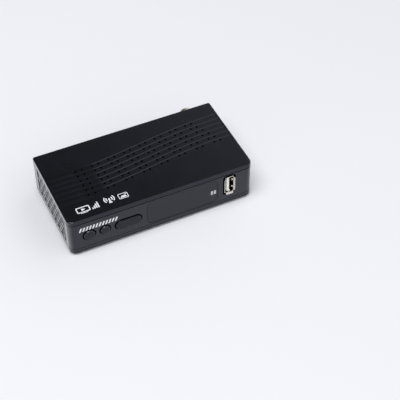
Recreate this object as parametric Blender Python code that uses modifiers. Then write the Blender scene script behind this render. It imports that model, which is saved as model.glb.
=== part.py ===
"""A small terrestrial television receiver, with every piece it comes apart into.

Metres, +Z up. The front faces -Y, and the receiver stands on its feet on z = 0.
Places across the case are measured from its left side, and places in depth from its front face.
"""
import math

import bmesh
import bpy
from mathutils import Matrix, Vector

# Case
CASE_WIDTH = 0.120
CASE_DEPTH = 0.0625
CASE_HEIGHT = 0.0271
WALL = 0.0018
FRONT_CORNER = 0.0045
REAR_CORNER = 0.0013
CORNER_STEPS = 6
SEAM = 0.0003
SEAT = 0.0003
OVERRUN = 0.001

# Bottom case
TRAY_HEIGHT = 0.0041
TRAY_EDGE = 0.0012
GROOVE_HEIGHT = 0.0019
GROOVE_WIDTH = 0.0003
GROOVE_DEPTH = 0.00025
FLOOR_SLOT_LENGTH = 0.012
FLOOR_SLOT_WIDTH = 0.0016
FLOOR_SLOT_PITCH = 0.0045
FLOOR_SLOT_COUNT = 9
FLOOR_SLOT_ROWS = 2
FLOOR_ROW_PITCH = 0.018
RIB_WIDTH = 0.0009
RIB_RISE = 0.002
RIB_START = 0.021
RIB_LENGTH = 0.028

# Top cover
LIP_HEIGHT = 0.003
LIP_LEAN = 0.00065
TOP_EDGE = 0.0009
VENT_ROWS = 6
VENT_PAIRS = 8
VENT_WIDTH = 0.0012
VENT_LENGTH = 0.0018
VENT_FRONT_ROW = 0.0176
VENT_BACK_INSET = 0.0132
VENT_CURVE_RISE = 0.0102
VENT_CURVE_START = 0.010
VENT_CURVE_END_INSET = 0.005
VENT_PAIR_GAP = 0.00415
BACK_FIRST_PAIR = 0.0196
BACK_LAST_INSET = 0.01925
FRONT_FIRST_PAIR = 0.0199
FRONT_LAST_INSET = 0.0088
CHANNEL_INSET = 0.00125
CHANNEL_AHEAD_SHARE = 0.60
CHANNEL_BEHIND_SHARE = 0.36
CHANNEL_RISER_SHARE = 0.07
CHANNEL_DEPTH = 0.00045
CHANNEL_LIFT = 0.00006
CHANNEL_STEPS = 18
RELIEF_FRONT = 0.0077
RELIEF_BACK_INSET = 0.0069
RELIEF_RISE = 0.0011
RELIEF_TOP_INSET = 0.0035
RELIEF_DEPTH = 0.0005
RELIEF_COLUMNS = 8
RELIEF_ROWS = 4
LOZENGE_SHY = 0.00005
LOZENGE_WIDTH_SHARE = 0.835
LOZENGE_HEIGHT_SHARE = 0.935
LOZENGE_FACE_SHARE = 0.72

# Case screws and their bosses
BOSS_INSET = 0.0045
BOSS_FRONT = 0.015
BOSS_BACK_INSET = 0.0075
BOSS_RADIUS = 0.0025
TRAY_BOSS_HEIGHT = 0.003
SCREW_SHANK_RADIUS = 0.0008
SCREW_CLEARANCE = 0.0003
SCREW_HEAD_RADIUS = 0.0018
SCREW_HEAD_HEIGHT = 0.0011
CASE_SCREW_LENGTH = 0.012
CROSS_LENGTH = 0.0022
CROSS_WIDTH = 0.0005
CROSS_DEPTH = 0.0006
CROSS_TIP_SHARE = 0.7

# Feet
FOOT_HEIGHT = 0.001
FOOT_RADIUS = 0.004
FOOT_RECESS = 0.0006
FOOT_EDGE = 0.0004
FOOT_SIDE_INSET = 0.013
FOOT_END_INSET = 0.0085

# Front panel
BEZEL_WALL = 0.0022
BEZEL_RETURN = 0.0063
TONGUE_THICKNESS = 0.0012
TONGUE_REACH = 0.0010
TONGUE_ROOT = 0.0012
LEFT_TONGUE = (0.010, 0.046)
RIGHT_TONGUE_INSETS = (0.011, 0.004)
POST_RADIUS = 0.002
POST_TOP_INSET = 0.0032
LEFT_POST = 0.007
RIGHT_POST = 0.0445

# Buttons
BUTTON_PROUD = 0.0008
BUTTON_DOME = 0.0005
BUTTON_CLEARANCE = 0.00035
BUTTON_HEIGHT_SHARE = 0.46
BUTTON_TRAVEL = 0.0005
FLANGE_WIDTH = 0.0007
FLANGE_THICKNESS = 0.0008
STEM_RADIUS = 0.0015
STEM_LENGTH = 0.0007
POWER_FROM_LEFT = 0.0123
POWER_HOLE_RADIUS = 0.0040
MENU_FROM_LEFT = 0.0223
MENU_HOLE_RADIUS = 0.00345
ROCKER_FROM_LEFT = 0.0372
ROCKER_HOLE_LENGTH = 0.0174
ROCKER_HOLE_HEIGHT = 0.0076
ROCKER_HEIGHT_SHARE = 0.445
ROCKER_EDGE = 0.0006
ROCKER_SWING = 0.0005
ROCKER_FLANGE = 0.0010
ROCKER_PAD_OFFSET = 0.005
ROCKER_PAD_RADIUS = 0.0012
ROCKER_PIN_RADIUS = 0.0008
ROCKER_PIN_LENGTH = 0.0014
ROCKER_PIN_CLEARANCE = 0.00012
EAR_WIDTH = 0.0032
EAR_REACH = 0.0026
ROUND_STEPS = 24
SMALL_STEPS = 12

# Push switches
SWITCH_SIZE = 0.006
SWITCH_DEPTH = 0.0033
PLUNGER_RADIUS = 0.0014
PLUNGER_CLEARANCE = 0.0004
PLUNGER_PROUD = 0.0009
PLUNGER_LENGTH = 0.0029
SWITCH_FLOOR = 0.0005

# Display window and what sits behind it
WINDOW_FROM_LEFT = 0.0495
WINDOW_FROM_RIGHT = 0.0240
WINDOW_RISE = 0.0054
WINDOW_TOP_INSET = 0.0015
WINDOW_CORNER = 0.0035
WINDOW_SHY = 0.0001
WINDOW_FLANGE = 0.0008
DISPLAY_SIDE_INSET = 0.00825
DISPLAY_END_INSET = 0.0016
DISPLAY_EDGE = 0.0004
SENSOR_FROM_RIGHT = 0.0284
SENSOR_RISE = 0.0065
SENSOR_WIDTH = 0.0054
SENSOR_HEIGHT = 0.007
SENSOR_DEPTH = 0.003
SENSOR_LENS_RADIUS = 0.0018
LIGHT_FROM_LEFT = 0.0535
LIGHT_TOP_INSET = 0.0041
LIGHT_RADIUS = 0.0015
LIGHT_FLANGE = 0.0004

# Circuit boards
BOARD_THICKNESS = 0.0016
FRONT_BOARD_FROM_LEFT = 0.0035
FRONT_BOARD_FROM_RIGHT = 0.0228
FRONT_BOARD_TOP_GAP = 0.0008
MAIN_BOARD_SIDE = 0.0076
BOARDS_APART = 0.0015
MAIN_BOARD_EAR_FRONT = 0.004
MAIN_BOARD_EAR_WIDTH = 0.0142
MAIN_BOARD_BACK_INSET = 0.0023
STANDOFF_RADIUS = 0.00225
BOARD_SCREW_SHARE = 0.62
FRONT_SCREW_SHARE = 0.60
FRONT_LEFT_STANDOFF = (0.0120, 0.0170)
FRONT_RIGHT_STANDOFF_INSETS = (0.0120, 0.0195)
BACK_STANDOFF_INSET = 0.0075
BACK_LEFT_STANDOFF = 0.0120
BACK_RIGHT_STANDOFF_INSET = 0.0248
HEADER_FROM_LEFT = 0.060
HEADER_LENGTH = 0.0152
HEADER_DEPTH = 0.0025
HEADER_HEIGHT = 0.0025
HEADER_PINS = 6
HEADER_PIN_WIDTH = 0.0006

# USB-A port
USB_FROM_RIGHT = 0.016
USB_HEIGHT_SHARE = 0.805
USB_BODY_WIDTH = 0.0057
USB_BODY_HEIGHT = 0.0131
USB_BODY_LENGTH = 0.0132
USB_SHEET = 0.0003
USB_CORNER = 0.0007
USB_PROUD = 0.0010
USB_LIP = 0.0012
USB_LIP_ANGLE = 48.0
USB_LIP_SHARE = 0.80
USB_APERTURE_WIDTH = 0.0084
USB_APERTURE_HEIGHT = 0.0151
USB_APERTURE_CORNER = 0.0012
USB_TONGUE_THICKNESS = 0.0018
USB_TONGUE_HEIGHT = 0.0111
USB_TONGUE_OFFSET = 0.0008
USB_TONGUE_START = 0.0006
USB_BACK_LENGTH = 0.0032

# Tuner and antenna socket
ANTENNA_FROM_RIGHT = 0.013
ANTENNA_RISE = 0.00545
ANTENNA_REACH = 0.0095
ANTENNA_RADIUS = 0.00475
ANTENNA_BORE = 0.0039
ANTENNA_FLANGE_RADIUS = 0.0054
ANTENNA_FLANGE = 0.0011
ANTENNA_RIM = 0.0004
ANTENNA_RING = 0.0008
INSULATOR_DEPTH = 0.002
CONTACT_RADIUS = 0.0014
CONTACT_BORE = 0.0008
CONTACT_LENGTH = 0.0065
CAN_WIDTH = 0.0139
CAN_LENGTH = 0.020
CAN_HEIGHT = 0.0118
CAN_SIDE_OFFSET = 0.00155
CAN_EDGE = 0.0003

# Other sockets at the back
REAR_PANEL = 0.0018
SOCKET_CLEARANCE = 0.0004
HDMI_FROM_RIGHT = 0.0355
HDMI_WIDTH = 0.015
HDMI_HEIGHT = 0.0056
HDMI_LENGTH = 0.0117
HDMI_SLOPE = 0.0017
HDMI_SHEET = 0.0004
HDMI_BACK_LENGTH = 0.0035
HDMI_TONGUE_WIDTH = 0.0118
HDMI_TONGUE_THICKNESS = 0.0016
HDMI_TONGUE_SHY = 0.0012
AV_FROM_LEFT = 0.050
AV_WIDTH = 0.007
AV_HEIGHT = 0.006
AV_LENGTH = 0.0116
AV_COLLAR_RADIUS = 0.0029
AV_BORE = 0.0018
DC_FROM_LEFT = 0.022
DC_WIDTH = 0.009
DC_HEIGHT = 0.0108
DC_LENGTH = 0.0127
DC_COLLAR_RADIUS = 0.0042
DC_BORE = 0.0030
DC_BORE_DEPTH = 0.0095
DC_PIN_RADIUS = 0.0010
COLLAR_PROUD = 0.0004

# Components on the main board
DECODER_PLACE_SHARES = (0.50, 0.53)
DECODER_SIZE = (0.014, 0.014, 0.0014)
HEAT_SINK_SIZE = (0.019, 0.019, 0.0075)
FIN_GAP = 0.0022
FIN_COUNT = 5
FIN_ROOT = 0.0018
MEMORY_PLACE_SHARES = (0.317, 0.45)
MEMORY_SIZE = (0.0085, 0.0125, 0.0012)
FLASH_PLACE_SHARES = (0.215, 0.32)
FLASH_SIZE = (0.0052, 0.0052, 0.0016)
INDUCTOR_PLACE_SHARES = (0.196, 0.616)
INDUCTOR_SIZE = (0.0073, 0.0073, 0.0040)
INDUCTOR_EDGE = 0.0009
CRYSTAL_PLACE_SHARES = (0.67, 0.42)
CRYSTAL_SIZE = (0.0108, 0.0045, 0.0034)
CAPACITOR_COUNT = 2
CAPACITOR_FROM_LEFT = 0.0325
CAPACITOR_PITCH = 0.0085
CAPACITOR_BACK_INSET = 0.0125
CAPACITOR_RADIUS = 0.0031
CAPACITOR_HEIGHT = 0.0077
CAPACITOR_NECK = 0.0003
CHIP_EDGE = 0.0002

# Heights and depths worked out from the sizes above
FRONT_Y = USB_PROUD - (CASE_DEPTH + ANTENNA_REACH + USB_PROUD) / 2
TRAY_BOTTOM = FOOT_HEIGHT
TOP = TRAY_BOTTOM + CASE_HEIGHT
CEILING = TOP - WALL
FLOOR = TRAY_BOTTOM + WALL
LOW_SEAM = TRAY_BOTTOM + TRAY_HEIGHT
HIGH_SEAM = TOP - LIP_HEIGHT
BEZEL_HEIGHT = HIGH_SEAM - LOW_SEAM
BUTTON_Z = LOW_SEAM + BEZEL_HEIGHT * BUTTON_HEIGHT_SHARE
ROCKER_Z = LOW_SEAM + BEZEL_HEIGHT * ROCKER_HEIGHT_SHARE
USB_Z = LOW_SEAM + (BEZEL_HEIGHT - USB_APERTURE_HEIGHT) * USB_HEIGHT_SHARE + USB_APERTURE_HEIGHT / 2
BOARD_TOP = USB_Z - USB_BODY_HEIGHT / 2 - SEAT
BOARD_BOTTOM = BOARD_TOP - BOARD_THICKNESS
ON_BOARD = BOARD_TOP + SEAT
BOARD_SCREW_LENGTH = (ON_BOARD - FLOOR) * BOARD_SCREW_SHARE
ANTENNA_Z = ON_BOARD + ANTENNA_RISE
FLANGE_FRONT = BEZEL_WALL + SEAM
FLANGE_BACK = FLANGE_FRONT + FLANGE_THICKNESS
STEM_END = FLANGE_BACK + STEM_LENGTH
PLUNGER_TIP = STEM_END + SEAT
SWITCH_FRONT = PLUNGER_TIP + PLUNGER_PROUD
SWITCH_BACK = SWITCH_FRONT + SWITCH_DEPTH
FRONT_BOARD_FRONT = SWITCH_BACK + SEAT
FRONT_BOARD_BACK = FRONT_BOARD_FRONT + BOARD_THICKNESS
FRONT_SCREW_LENGTH = (FRONT_BOARD_BACK - BEZEL_WALL) * FRONT_SCREW_SHARE
MAIN_BOARD_FRONT = FRONT_BOARD_BACK + BOARDS_APART
WINDOW_LEFT = WINDOW_FROM_LEFT
WINDOW_RIGHT = CASE_WIDTH - WINDOW_FROM_RIGHT
WINDOW_LOW = TRAY_BOTTOM + WINDOW_RISE
WINDOW_HIGH = HIGH_SEAM - WINDOW_TOP_INSET
POST_Z = HIGH_SEAM - POST_TOP_INSET
PANEL_FRONT = CASE_DEPTH - REAR_PANEL
USB_X = CASE_WIDTH - USB_FROM_RIGHT
USB_LIP_TURN = math.radians(USB_LIP_ANGLE)
USB_MOUTH = USB_LIP * math.cos(USB_LIP_TURN) + USB_SHEET / 2 * math.sin(USB_LIP_TURN) - USB_PROUD
ANTENNA_X = CASE_WIDTH - ANTENNA_FROM_RIGHT
HDMI_X = CASE_WIDTH - HDMI_FROM_RIGHT
CAN_BACK = PANEL_FRONT - SEAT - ANTENNA_FLANGE - SEAT
ROCKER_PIVOT = BEZEL_WALL + ROCKER_SWING + ROCKER_FLANGE / 2
ROCKER_HALF_HEIGHT = ROCKER_HOLE_HEIGHT / 2 - BUTTON_CLEARANCE + FLANGE_WIDTH
VENT_ROW_PITCH = (CASE_DEPTH - VENT_BACK_INSET - VENT_CURVE_RISE - VENT_FRONT_ROW) / (VENT_ROWS - 1)

COLOURS = {
    "cover plastic": ((0.022, 0.022, 0.026, 1.0), 0.38, 0.0),
    "panel plastic": ((0.040, 0.040, 0.047, 1.0), 0.35, 0.0),
    "smoked acrylic": ((0.020, 0.018, 0.024, 1.0), 0.12, 0.0),
    "button plastic": ((0.075, 0.075, 0.082, 1.0), 0.42, 0.0),
    "black moulding": ((0.012, 0.012, 0.013, 1.0), 0.45, 0.0),
    "white moulding": ((0.78, 0.77, 0.73, 1.0), 0.45, 0.0),
    "nickel plate": ((0.72, 0.70, 0.66, 1.0), 0.25, 1.0),
    "tinned steel": ((0.62, 0.62, 0.60, 1.0), 0.35, 1.0),
    "gold plate": ((0.83, 0.62, 0.25, 1.0), 0.25, 1.0),
    "zinc screw": ((0.55, 0.55, 0.56, 1.0), 0.32, 1.0),
    "green board": ((0.020, 0.145, 0.060, 1.0), 0.38, 0.0),
    "chip resin": ((0.018, 0.018, 0.019, 1.0), 0.55, 0.0),
    "finned aluminium": ((0.50, 0.51, 0.53, 1.0), 0.40, 1.0),
    "capacitor sleeve": ((0.030, 0.040, 0.085, 1.0), 0.35, 0.0),
    "ferrite": ((0.045, 0.045, 0.048, 1.0), 0.60, 0.0),
    "foot rubber": ((0.016, 0.016, 0.017, 1.0), 0.80, 0.0),
    "sensor resin": ((0.030, 0.012, 0.040, 1.0), 0.20, 0.0),
    "lamp resin": ((0.70, 0.08, 0.06, 1.0), 0.20, 0.0),
}


def new_collection(name):
    """Makes a collection under the scene's own."""
    group = bpy.data.collections.new(name)
    bpy.context.scene.collection.children.link(group)
    return group


def clear_scene():
    """Removes what the scene holds at the start."""
    for thing in list(bpy.data.objects):
        bpy.data.objects.remove(thing, do_unlink=True)


clear_scene()
RECEIVER = new_collection("terrestrial_tv_receiver")
CUTTERS = new_collection("cutters")


def material(name):
    """The Principled material of a finish, made the first time it is asked for."""
    found = bpy.data.materials.get(name)
    if found:
        return found
    colour, roughness, metallic = COLOURS[name]
    found = bpy.data.materials.new(name)
    found.use_nodes = True
    shader = found.node_tree.nodes["Principled BSDF"]
    shader.inputs["Base Color"].default_value = colour
    shader.inputs["Roughness"].default_value = roughness
    shader.inputs["Metallic"].default_value = metallic
    found.diffuse_color = colour
    return found


def put_in(shape, group):
    """Moves an object into one collection."""
    for holder in list(shape.users_collection):
        holder.objects.unlink(shape)
    group.objects.link(shape)


def finish(shape, name, finish_name, smooth_angle=32.0):
    """Names a sub-part, gives it its own material and shades its round faces smooth."""
    shape.name = name
    shape.data.name = name
    own = material(finish_name).copy()
    own.name = name + " " + finish_name
    shape.data.materials.clear()
    shape.data.materials.append(own)
    shape.data.shade_smooth()
    shape.data.set_sharp_from_angle(angle=math.radians(smooth_angle))
    put_in(shape, RECEIVER)
    return shape


def across(from_left):
    """World X of a place measured from the case's left side."""
    return from_left - CASE_WIDTH / 2


def back(from_front):
    """World Y of a place measured from the case's front face."""
    return from_front + FRONT_Y


def shape_from(mesh_builder, name):
    """An object whose mesh is the builder's."""
    mesh = bpy.data.meshes.new(name)
    mesh_builder.to_mesh(mesh)
    mesh_builder.free()
    shape = bpy.data.objects.new(name, mesh)
    bpy.context.scene.collection.objects.link(shape)
    return shape


def boolean(target, tool, operation):
    """Cuts a shape with a tool, or joins the tool to it."""
    put_in(tool, CUTTERS)
    tool.hide_render = True
    tool.display_type = 'WIRE'
    step = target.modifiers.new(tool.name, 'BOOLEAN')
    step.operation = operation
    step.solver = 'EXACT'
    step.object = tool
    return target


def cut(target, *tools):
    """Takes each tool's volume out of a shape."""
    for tool in tools:
        boolean(target, tool, 'DIFFERENCE')
    return target


def join(target, *tools):
    """Joins each tool's volume to a shape."""
    for tool in tools:
        boolean(target, tool, 'UNION')
    return target


def cuboids(name, corners):
    """Boxes, each from its low corner to its high one, measured from the case's left and front."""
    builder = bmesh.new()
    for low, high in corners:
        low_corner = Vector((across(low[0]), back(low[1]), low[2]))
        high_corner = Vector((across(high[0]), back(high[1]), high[2]))
        size = Matrix.Diagonal(high_corner - low_corner).to_4x4()
        place = Matrix.Translation((low_corner + high_corner) / 2)
        bmesh.ops.create_cube(builder, size=1, matrix=place @ size)
    return shape_from(builder, name)


def box(name, low, high):
    """One box between two corners."""
    return cuboids(name, [(low, high)])


def standing_box(name, place, size, base):
    """A box of a given size, centred on a place in plan, that stands at a height."""
    half_width = size[0] / 2
    half_depth = size[1] / 2
    low = (place[0] - half_width, place[1] - half_depth, base)
    high = (place[0] + half_width, place[1] + half_depth, base + size[2])
    return box(name, low, high)


def bevelled(shape, width, segments=2):
    """Rounds every edge of a shape."""
    step = shape.modifiers.new("rounded edges", 'BEVEL')
    step.width = width
    step.segments = segments
    step.limit_method = 'ANGLE'
    step.angle_limit = math.radians(40)
    return shape


def rods(name, ends, radius, steps=SMALL_STEPS):
    """Cylinders between pairs of ends, measured from the case's left and front."""
    builder = bmesh.new()
    for start, end in ends:
        first = Vector((across(start[0]), back(start[1]), start[2]))
        last = Vector((across(end[0]), back(end[1]), end[2]))
        along = last - first
        turn = along.to_track_quat('Z', 'Y').to_matrix().to_4x4()
        place = Matrix.Translation((first + last) / 2) @ turn
        bmesh.ops.create_cone(builder, cap_ends=True, segments=steps, radius1=radius, radius2=radius,
                              depth=along.length, matrix=place)
    return shape_from(builder, name)


def upright_rods(name, places, radius, low, high, steps=SMALL_STEPS):
    """Vertical cylinders at places in plan."""
    ends = [((x, y, low), (x, y, high)) for x, y in places]
    return rods(name, ends, radius, steps)


def arc(centre, radius, start, end, steps):
    """Points along an arc, both ends included, with its angles in degrees."""
    points = []
    for step in range(steps + 1):
        angle = math.radians(start + (end - start) * step / steps)
        points.append((centre[0] + radius * math.cos(angle), centre[1] + radius * math.sin(angle)))
    return points


def circle(centre, radius, steps=ROUND_STEPS):
    """A closed ring of points."""
    return arc(centre, radius, 0, 360, steps)[:-1]


def rounded_rectangle(low, high, radius, steps=CORNER_STEPS):
    """A rectangle with four like corners."""
    points = arc((low[0] + radius, low[1] + radius), radius, 180, 270, steps)
    points += arc((high[0] - radius, low[1] + radius), radius, 270, 360, steps)
    points += arc((high[0] - radius, high[1] - radius), radius, 0, 90, steps)
    points += arc((low[0] + radius, high[1] - radius), radius, 90, 180, steps)
    return points


def stadium(centre, length, height, steps=ROUND_STEPS // 2):
    """A slot with round ends, long across."""
    reach = (length - height) / 2
    points = arc((centre[0] + reach, centre[1]), height / 2, -90, 90, steps)
    points += arc((centre[0] - reach, centre[1]), height / 2, 90, 270, steps)
    return points


def case_plan(inset=0.0):
    """The case's plan, with larger corners in front, moved in by an inset."""
    front = FRONT_CORNER - inset
    rear = max(REAR_CORNER - inset, REAR_CORNER / 4)
    left = inset
    right = CASE_WIDTH - inset
    near = inset
    far = CASE_DEPTH - inset
    points = arc((left + front, near + front), front, 180, 270, CORNER_STEPS)
    points += arc((right - front, near + front), front, 270, 360, CORNER_STEPS)
    points += arc((right - rear, far - rear), rear, 0, 90, CORNER_STEPS // 2)
    points += arc((left + rear, far - rear), rear, 90, 180, CORNER_STEPS // 2)
    return points


def cavity_plan():
    """The inside of the case's walls, running out past the open back."""
    front = FRONT_CORNER - WALL
    far = CASE_DEPTH + OVERRUN
    points = arc((WALL + front, WALL + front), front, 180, 270, CORNER_STEPS)
    points += arc((CASE_WIDTH - WALL - front, WALL + front), front, 270, 360, CORNER_STEPS)
    points += [(CASE_WIDTH - WALL, far), (WALL, far)]
    return points


def bezel_plan():
    """The front panel's plan: a front wall that returns round both corners."""
    inner = FRONT_CORNER - BEZEL_WALL
    right = CASE_WIDTH
    points = [(0.0, BEZEL_RETURN)]
    points += arc((FRONT_CORNER, FRONT_CORNER), FRONT_CORNER, 180, 270, CORNER_STEPS)
    points += arc((right - FRONT_CORNER, FRONT_CORNER), FRONT_CORNER, 270, 360, CORNER_STEPS)
    points += [(right, BEZEL_RETURN), (right - BEZEL_WALL, BEZEL_RETURN)]
    points += arc((right - FRONT_CORNER, FRONT_CORNER), inner, 360, 270, CORNER_STEPS)
    points += arc((FRONT_CORNER, FRONT_CORNER), inner, 270, 180, CORNER_STEPS)
    points += [(BEZEL_WALL, BEZEL_RETURN)]
    return points


def filled_outline(name, loops, thickness, matrix):
    """A mesh plate from flat outlines: a loop inside another is a hole."""
    curve = bpy.data.curves.new(name, 'CURVE')
    curve.dimensions = '2D'
    curve.fill_mode = 'BOTH'
    curve.extrude = thickness / 2
    for loop in loops:
        spline = curve.splines.new('POLY')
        spline.points.add(len(loop) - 1)
        for point, (u, v) in zip(spline.points, loop):
            point.co = (u, v, 0.0, 1.0)
        spline.use_cyclic_u = True
    drawn = bpy.data.objects.new(name, curve)
    bpy.context.scene.collection.objects.link(drawn)
    bpy.context.view_layer.update()
    graph = bpy.context.evaluated_depsgraph_get()
    mesh = bpy.data.meshes.new_from_object(drawn.evaluated_get(graph))
    bpy.data.objects.remove(drawn, do_unlink=True)
    builder = bmesh.new()
    builder.from_mesh(mesh)
    bpy.data.meshes.remove(mesh)
    bmesh.ops.remove_doubles(builder, verts=builder.verts, dist=SEAM / 1000)
    bmesh.ops.dissolve_limit(builder, angle_limit=math.radians(0.1), verts=builder.verts, edges=builder.edges)
    bmesh.ops.recalc_face_normals(builder, faces=builder.faces)
    bmesh.ops.transform(builder, matrix=matrix, verts=builder.verts)
    return shape_from(builder, name)


def plate(name, loops, low, high):
    """A plate whose outline is seen from above, between two heights."""
    placed = [[(across(x), back(y)) for x, y in loop] for loop in loops]
    return filled_outline(name, placed, high - low, Matrix.Translation((0.0, 0.0, (low + high) / 2)))


def panel(name, loops, front, rear):
    """A plate whose outline is seen from the front, between two depths."""
    placed = [[(across(x), z) for x, z in loop] for loop in loops]
    middle = Vector((0.0, back((front + rear) / 2), 0.0))
    matrix = Matrix.Translation(middle) @ Matrix.Rotation(math.radians(90), 4, 'X')
    return filled_outline(name, placed, rear - front, matrix)


def turned(name, profile, steps=ROUND_STEPS):
    """A turned shape about its own Z, from a profile that runs from the axis and back to it."""
    mesh = bpy.data.meshes.new(name)
    builder = bmesh.new()
    corners = [builder.verts.new((radius, 0.0, height)) for radius, height in profile]
    for first, second in zip(corners, corners[1:]):
        builder.edges.new((first, second))
    builder.to_mesh(mesh)
    builder.free()
    shape = bpy.data.objects.new(name, mesh)
    bpy.context.scene.collection.objects.link(shape)
    step = shape.modifiers.new("turned", 'SCREW')
    step.steps = steps
    step.render_steps = steps
    step.use_merge_vertices = True
    step.merge_threshold = SEAM / 100
    step.use_smooth_shade = True
    return shape


def facing(shape, from_left, from_front, height, direction):
    """Stands a turned shape at a place, with its own Z to the front, the back, up or down."""
    angles = {"front": (90, 0), "back": (-90, 0), "up": (0, 0), "down": (180, 0)}
    shape.rotation_euler = [math.radians(angle) for angle in (angles[direction] + (0,))]
    shape.location = (across(from_left), back(from_front), height)
    return shape


def empty_at(name, from_left, from_front, height):
    """An empty on a joint's axis."""
    pivot = bpy.data.objects.new(name, None)
    pivot.location = (across(from_left), back(from_front), height)
    RECEIVER.objects.link(pivot)
    return pivot


def hang_on(pivot, *pieces):
    """Parents pieces to a joint's empty without moving them."""
    for piece in pieces:
        piece.parent = pivot
        piece.matrix_parent_inverse = Matrix.Translation(-pivot.location)


def case_screw_places():
    """The four case screws in plan."""
    far = CASE_DEPTH - BOSS_BACK_INSET
    right = CASE_WIDTH - BOSS_INSET
    return [(BOSS_INSET, BOSS_FRONT), (right, BOSS_FRONT), (BOSS_INSET, far), (right, far)]


def standoff_places():
    """The four main board standoffs in plan."""
    far = CASE_DEPTH - BACK_STANDOFF_INSET
    right = CASE_WIDTH - FRONT_RIGHT_STANDOFF_INSETS[0]
    rear_right = CASE_WIDTH - BACK_RIGHT_STANDOFF_INSET
    return [FRONT_LEFT_STANDOFF, (right, FRONT_RIGHT_STANDOFF_INSETS[1]),
            (BACK_LEFT_STANDOFF, far), (rear_right, far)]


def foot_places():
    """The four feet in plan."""
    right = CASE_WIDTH - FOOT_SIDE_INSET
    far = CASE_DEPTH - FOOT_END_INSET
    return [(FOOT_SIDE_INSET, FOOT_END_INSET), (right, FOOT_END_INSET), (FOOT_SIDE_INSET, far), (right, far)]


def post_places():
    """The front panel's two posts for its board, across and in height."""
    return [(LEFT_POST, POST_Z), (RIGHT_POST, POST_Z)]


def vent_curve(from_left):
    """How far back a vent row has swung at a place across the case."""
    length = CASE_WIDTH - VENT_CURVE_START - VENT_CURVE_END_INSET
    share = (from_left - VENT_CURVE_START) / length
    share = min(max(share, 0.0), 1.0)
    return VENT_CURVE_RISE * (1 - math.cos(math.pi * share)) / 2


def cover_blank():
    """The cover's outer block, with rounded top edges and a leaning front lip."""
    shape = plate("top_cover", [case_plan()], LOW_SEAM + SEAM / 2, TOP)
    builder = bmesh.new()
    builder.from_mesh(shape.data)
    near_top = TOP - SEAM / 10
    edges = [edge for edge in builder.edges if all(vert.co.z > near_top for vert in edge.verts)]
    bmesh.ops.bevel(builder, geom=edges, offset=TOP_EDGE, segments=3, profile=0.5, affect='EDGES')
    everything = builder.verts[:] + builder.edges[:] + builder.faces[:]
    lean = Vector((0.0, -LIP_HEIGHT, LIP_LEAN))
    sliced = bmesh.ops.bisect_plane(builder, geom=everything, plane_co=(0.0, FRONT_Y, HIGH_SEAM),
                                    plane_no=lean.normalized(), dist=SEAM / 100, clear_outer=True)
    rim = [item for item in sliced["geom_cut"] if isinstance(item, bmesh.types.BMEdge)]
    bmesh.ops.holes_fill(builder, edges=rim)
    bmesh.ops.recalc_face_normals(builder, faces=builder.faces)
    builder.to_mesh(shape.data)
    builder.free()
    return shape


def vent_channels():
    """Cutters of the six curved channels, each falling gently back to a steep riser."""
    length = CASE_WIDTH - CHANNEL_INSET - CHANNEL_INSET
    front = -CHANNEL_AHEAD_SHARE * VENT_ROW_PITCH
    riser_top = CHANNEL_BEHIND_SHARE * VENT_ROW_PITCH
    riser_foot = riser_top - CHANNEL_RISER_SHARE * VENT_ROW_PITCH
    builder = bmesh.new()
    for row in range(VENT_ROWS):
        bmesh.ops.create_cube(builder, size=1, matrix=Matrix.Translation((0, row + row, 0)))
    along = [edge for edge in builder.edges if edge.verts[0].co.x * edge.verts[1].co.x < 0]
    bmesh.ops.subdivide_edges(builder, edges=along, cuts=CHANNEL_STEPS - 1)
    for vert in builder.verts:
        row = round(vert.co.y / 2)
        from_left = CASE_WIDTH / 2 + vert.co.x * length
        is_low = vert.co.z < 0
        if vert.co.y < row + row:
            ahead = front
            height = CHANNEL_LIFT if is_low else OVERRUN
        else:
            ahead = riser_foot if is_low else riser_top
            height = -CHANNEL_DEPTH if is_low else OVERRUN
        depth = VENT_FRONT_ROW + row * VENT_ROW_PITCH + vent_curve(from_left) + ahead
        vert.co = (across(from_left), back(depth), TOP + height)
    return shape_from(builder, "vent channels")


def vent_holes():
    """Cutters of the vents: pairs along each row, set wider towards the front."""
    size = Matrix.Diagonal((VENT_WIDTH / 2, VENT_LENGTH / 2, WALL + OVERRUN)).to_4x4()
    middle_height = TOP - WALL / 2
    builder = bmesh.new()
    for row in range(VENT_ROWS):
        share = row / (VENT_ROWS - 1)
        first = FRONT_FIRST_PAIR + share * (BACK_FIRST_PAIR - FRONT_FIRST_PAIR)
        last_inset = FRONT_LAST_INSET + share * (BACK_LAST_INSET - FRONT_LAST_INSET)
        pitch = (CASE_WIDTH - last_inset - first - VENT_PAIR_GAP) / (VENT_PAIRS - 1)
        for pair in range(VENT_PAIRS):
            for member in range(2):
                x = first + pair * pitch + member * VENT_PAIR_GAP
                y = VENT_FRONT_ROW + row * VENT_ROW_PITCH + vent_curve(x)
                place = Matrix.Translation((across(x), back(y), middle_height))
                bmesh.ops.create_cone(builder, cap_ends=True, segments=6, radius1=1, radius2=1,
                                      depth=1, matrix=place @ size)
    return shape_from(builder, "vent holes")


def relief_heights():
    """The low and high edges of the relief panels."""
    return LOW_SEAM + RELIEF_RISE, TOP - RELIEF_TOP_INSET


def relief_recess():
    """Cutters of the shallow panels on both sides of the cover."""
    low, high = relief_heights()
    far = CASE_DEPTH - RELIEF_BACK_INSET
    sides = [(-OVERRUN, RELIEF_DEPTH), (CASE_WIDTH - RELIEF_DEPTH, CASE_WIDTH + OVERRUN)]
    corners = [((start, RELIEF_FRONT, low), (end, far, high)) for start, end in sides]
    return cuboids("relief recess", corners)


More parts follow.
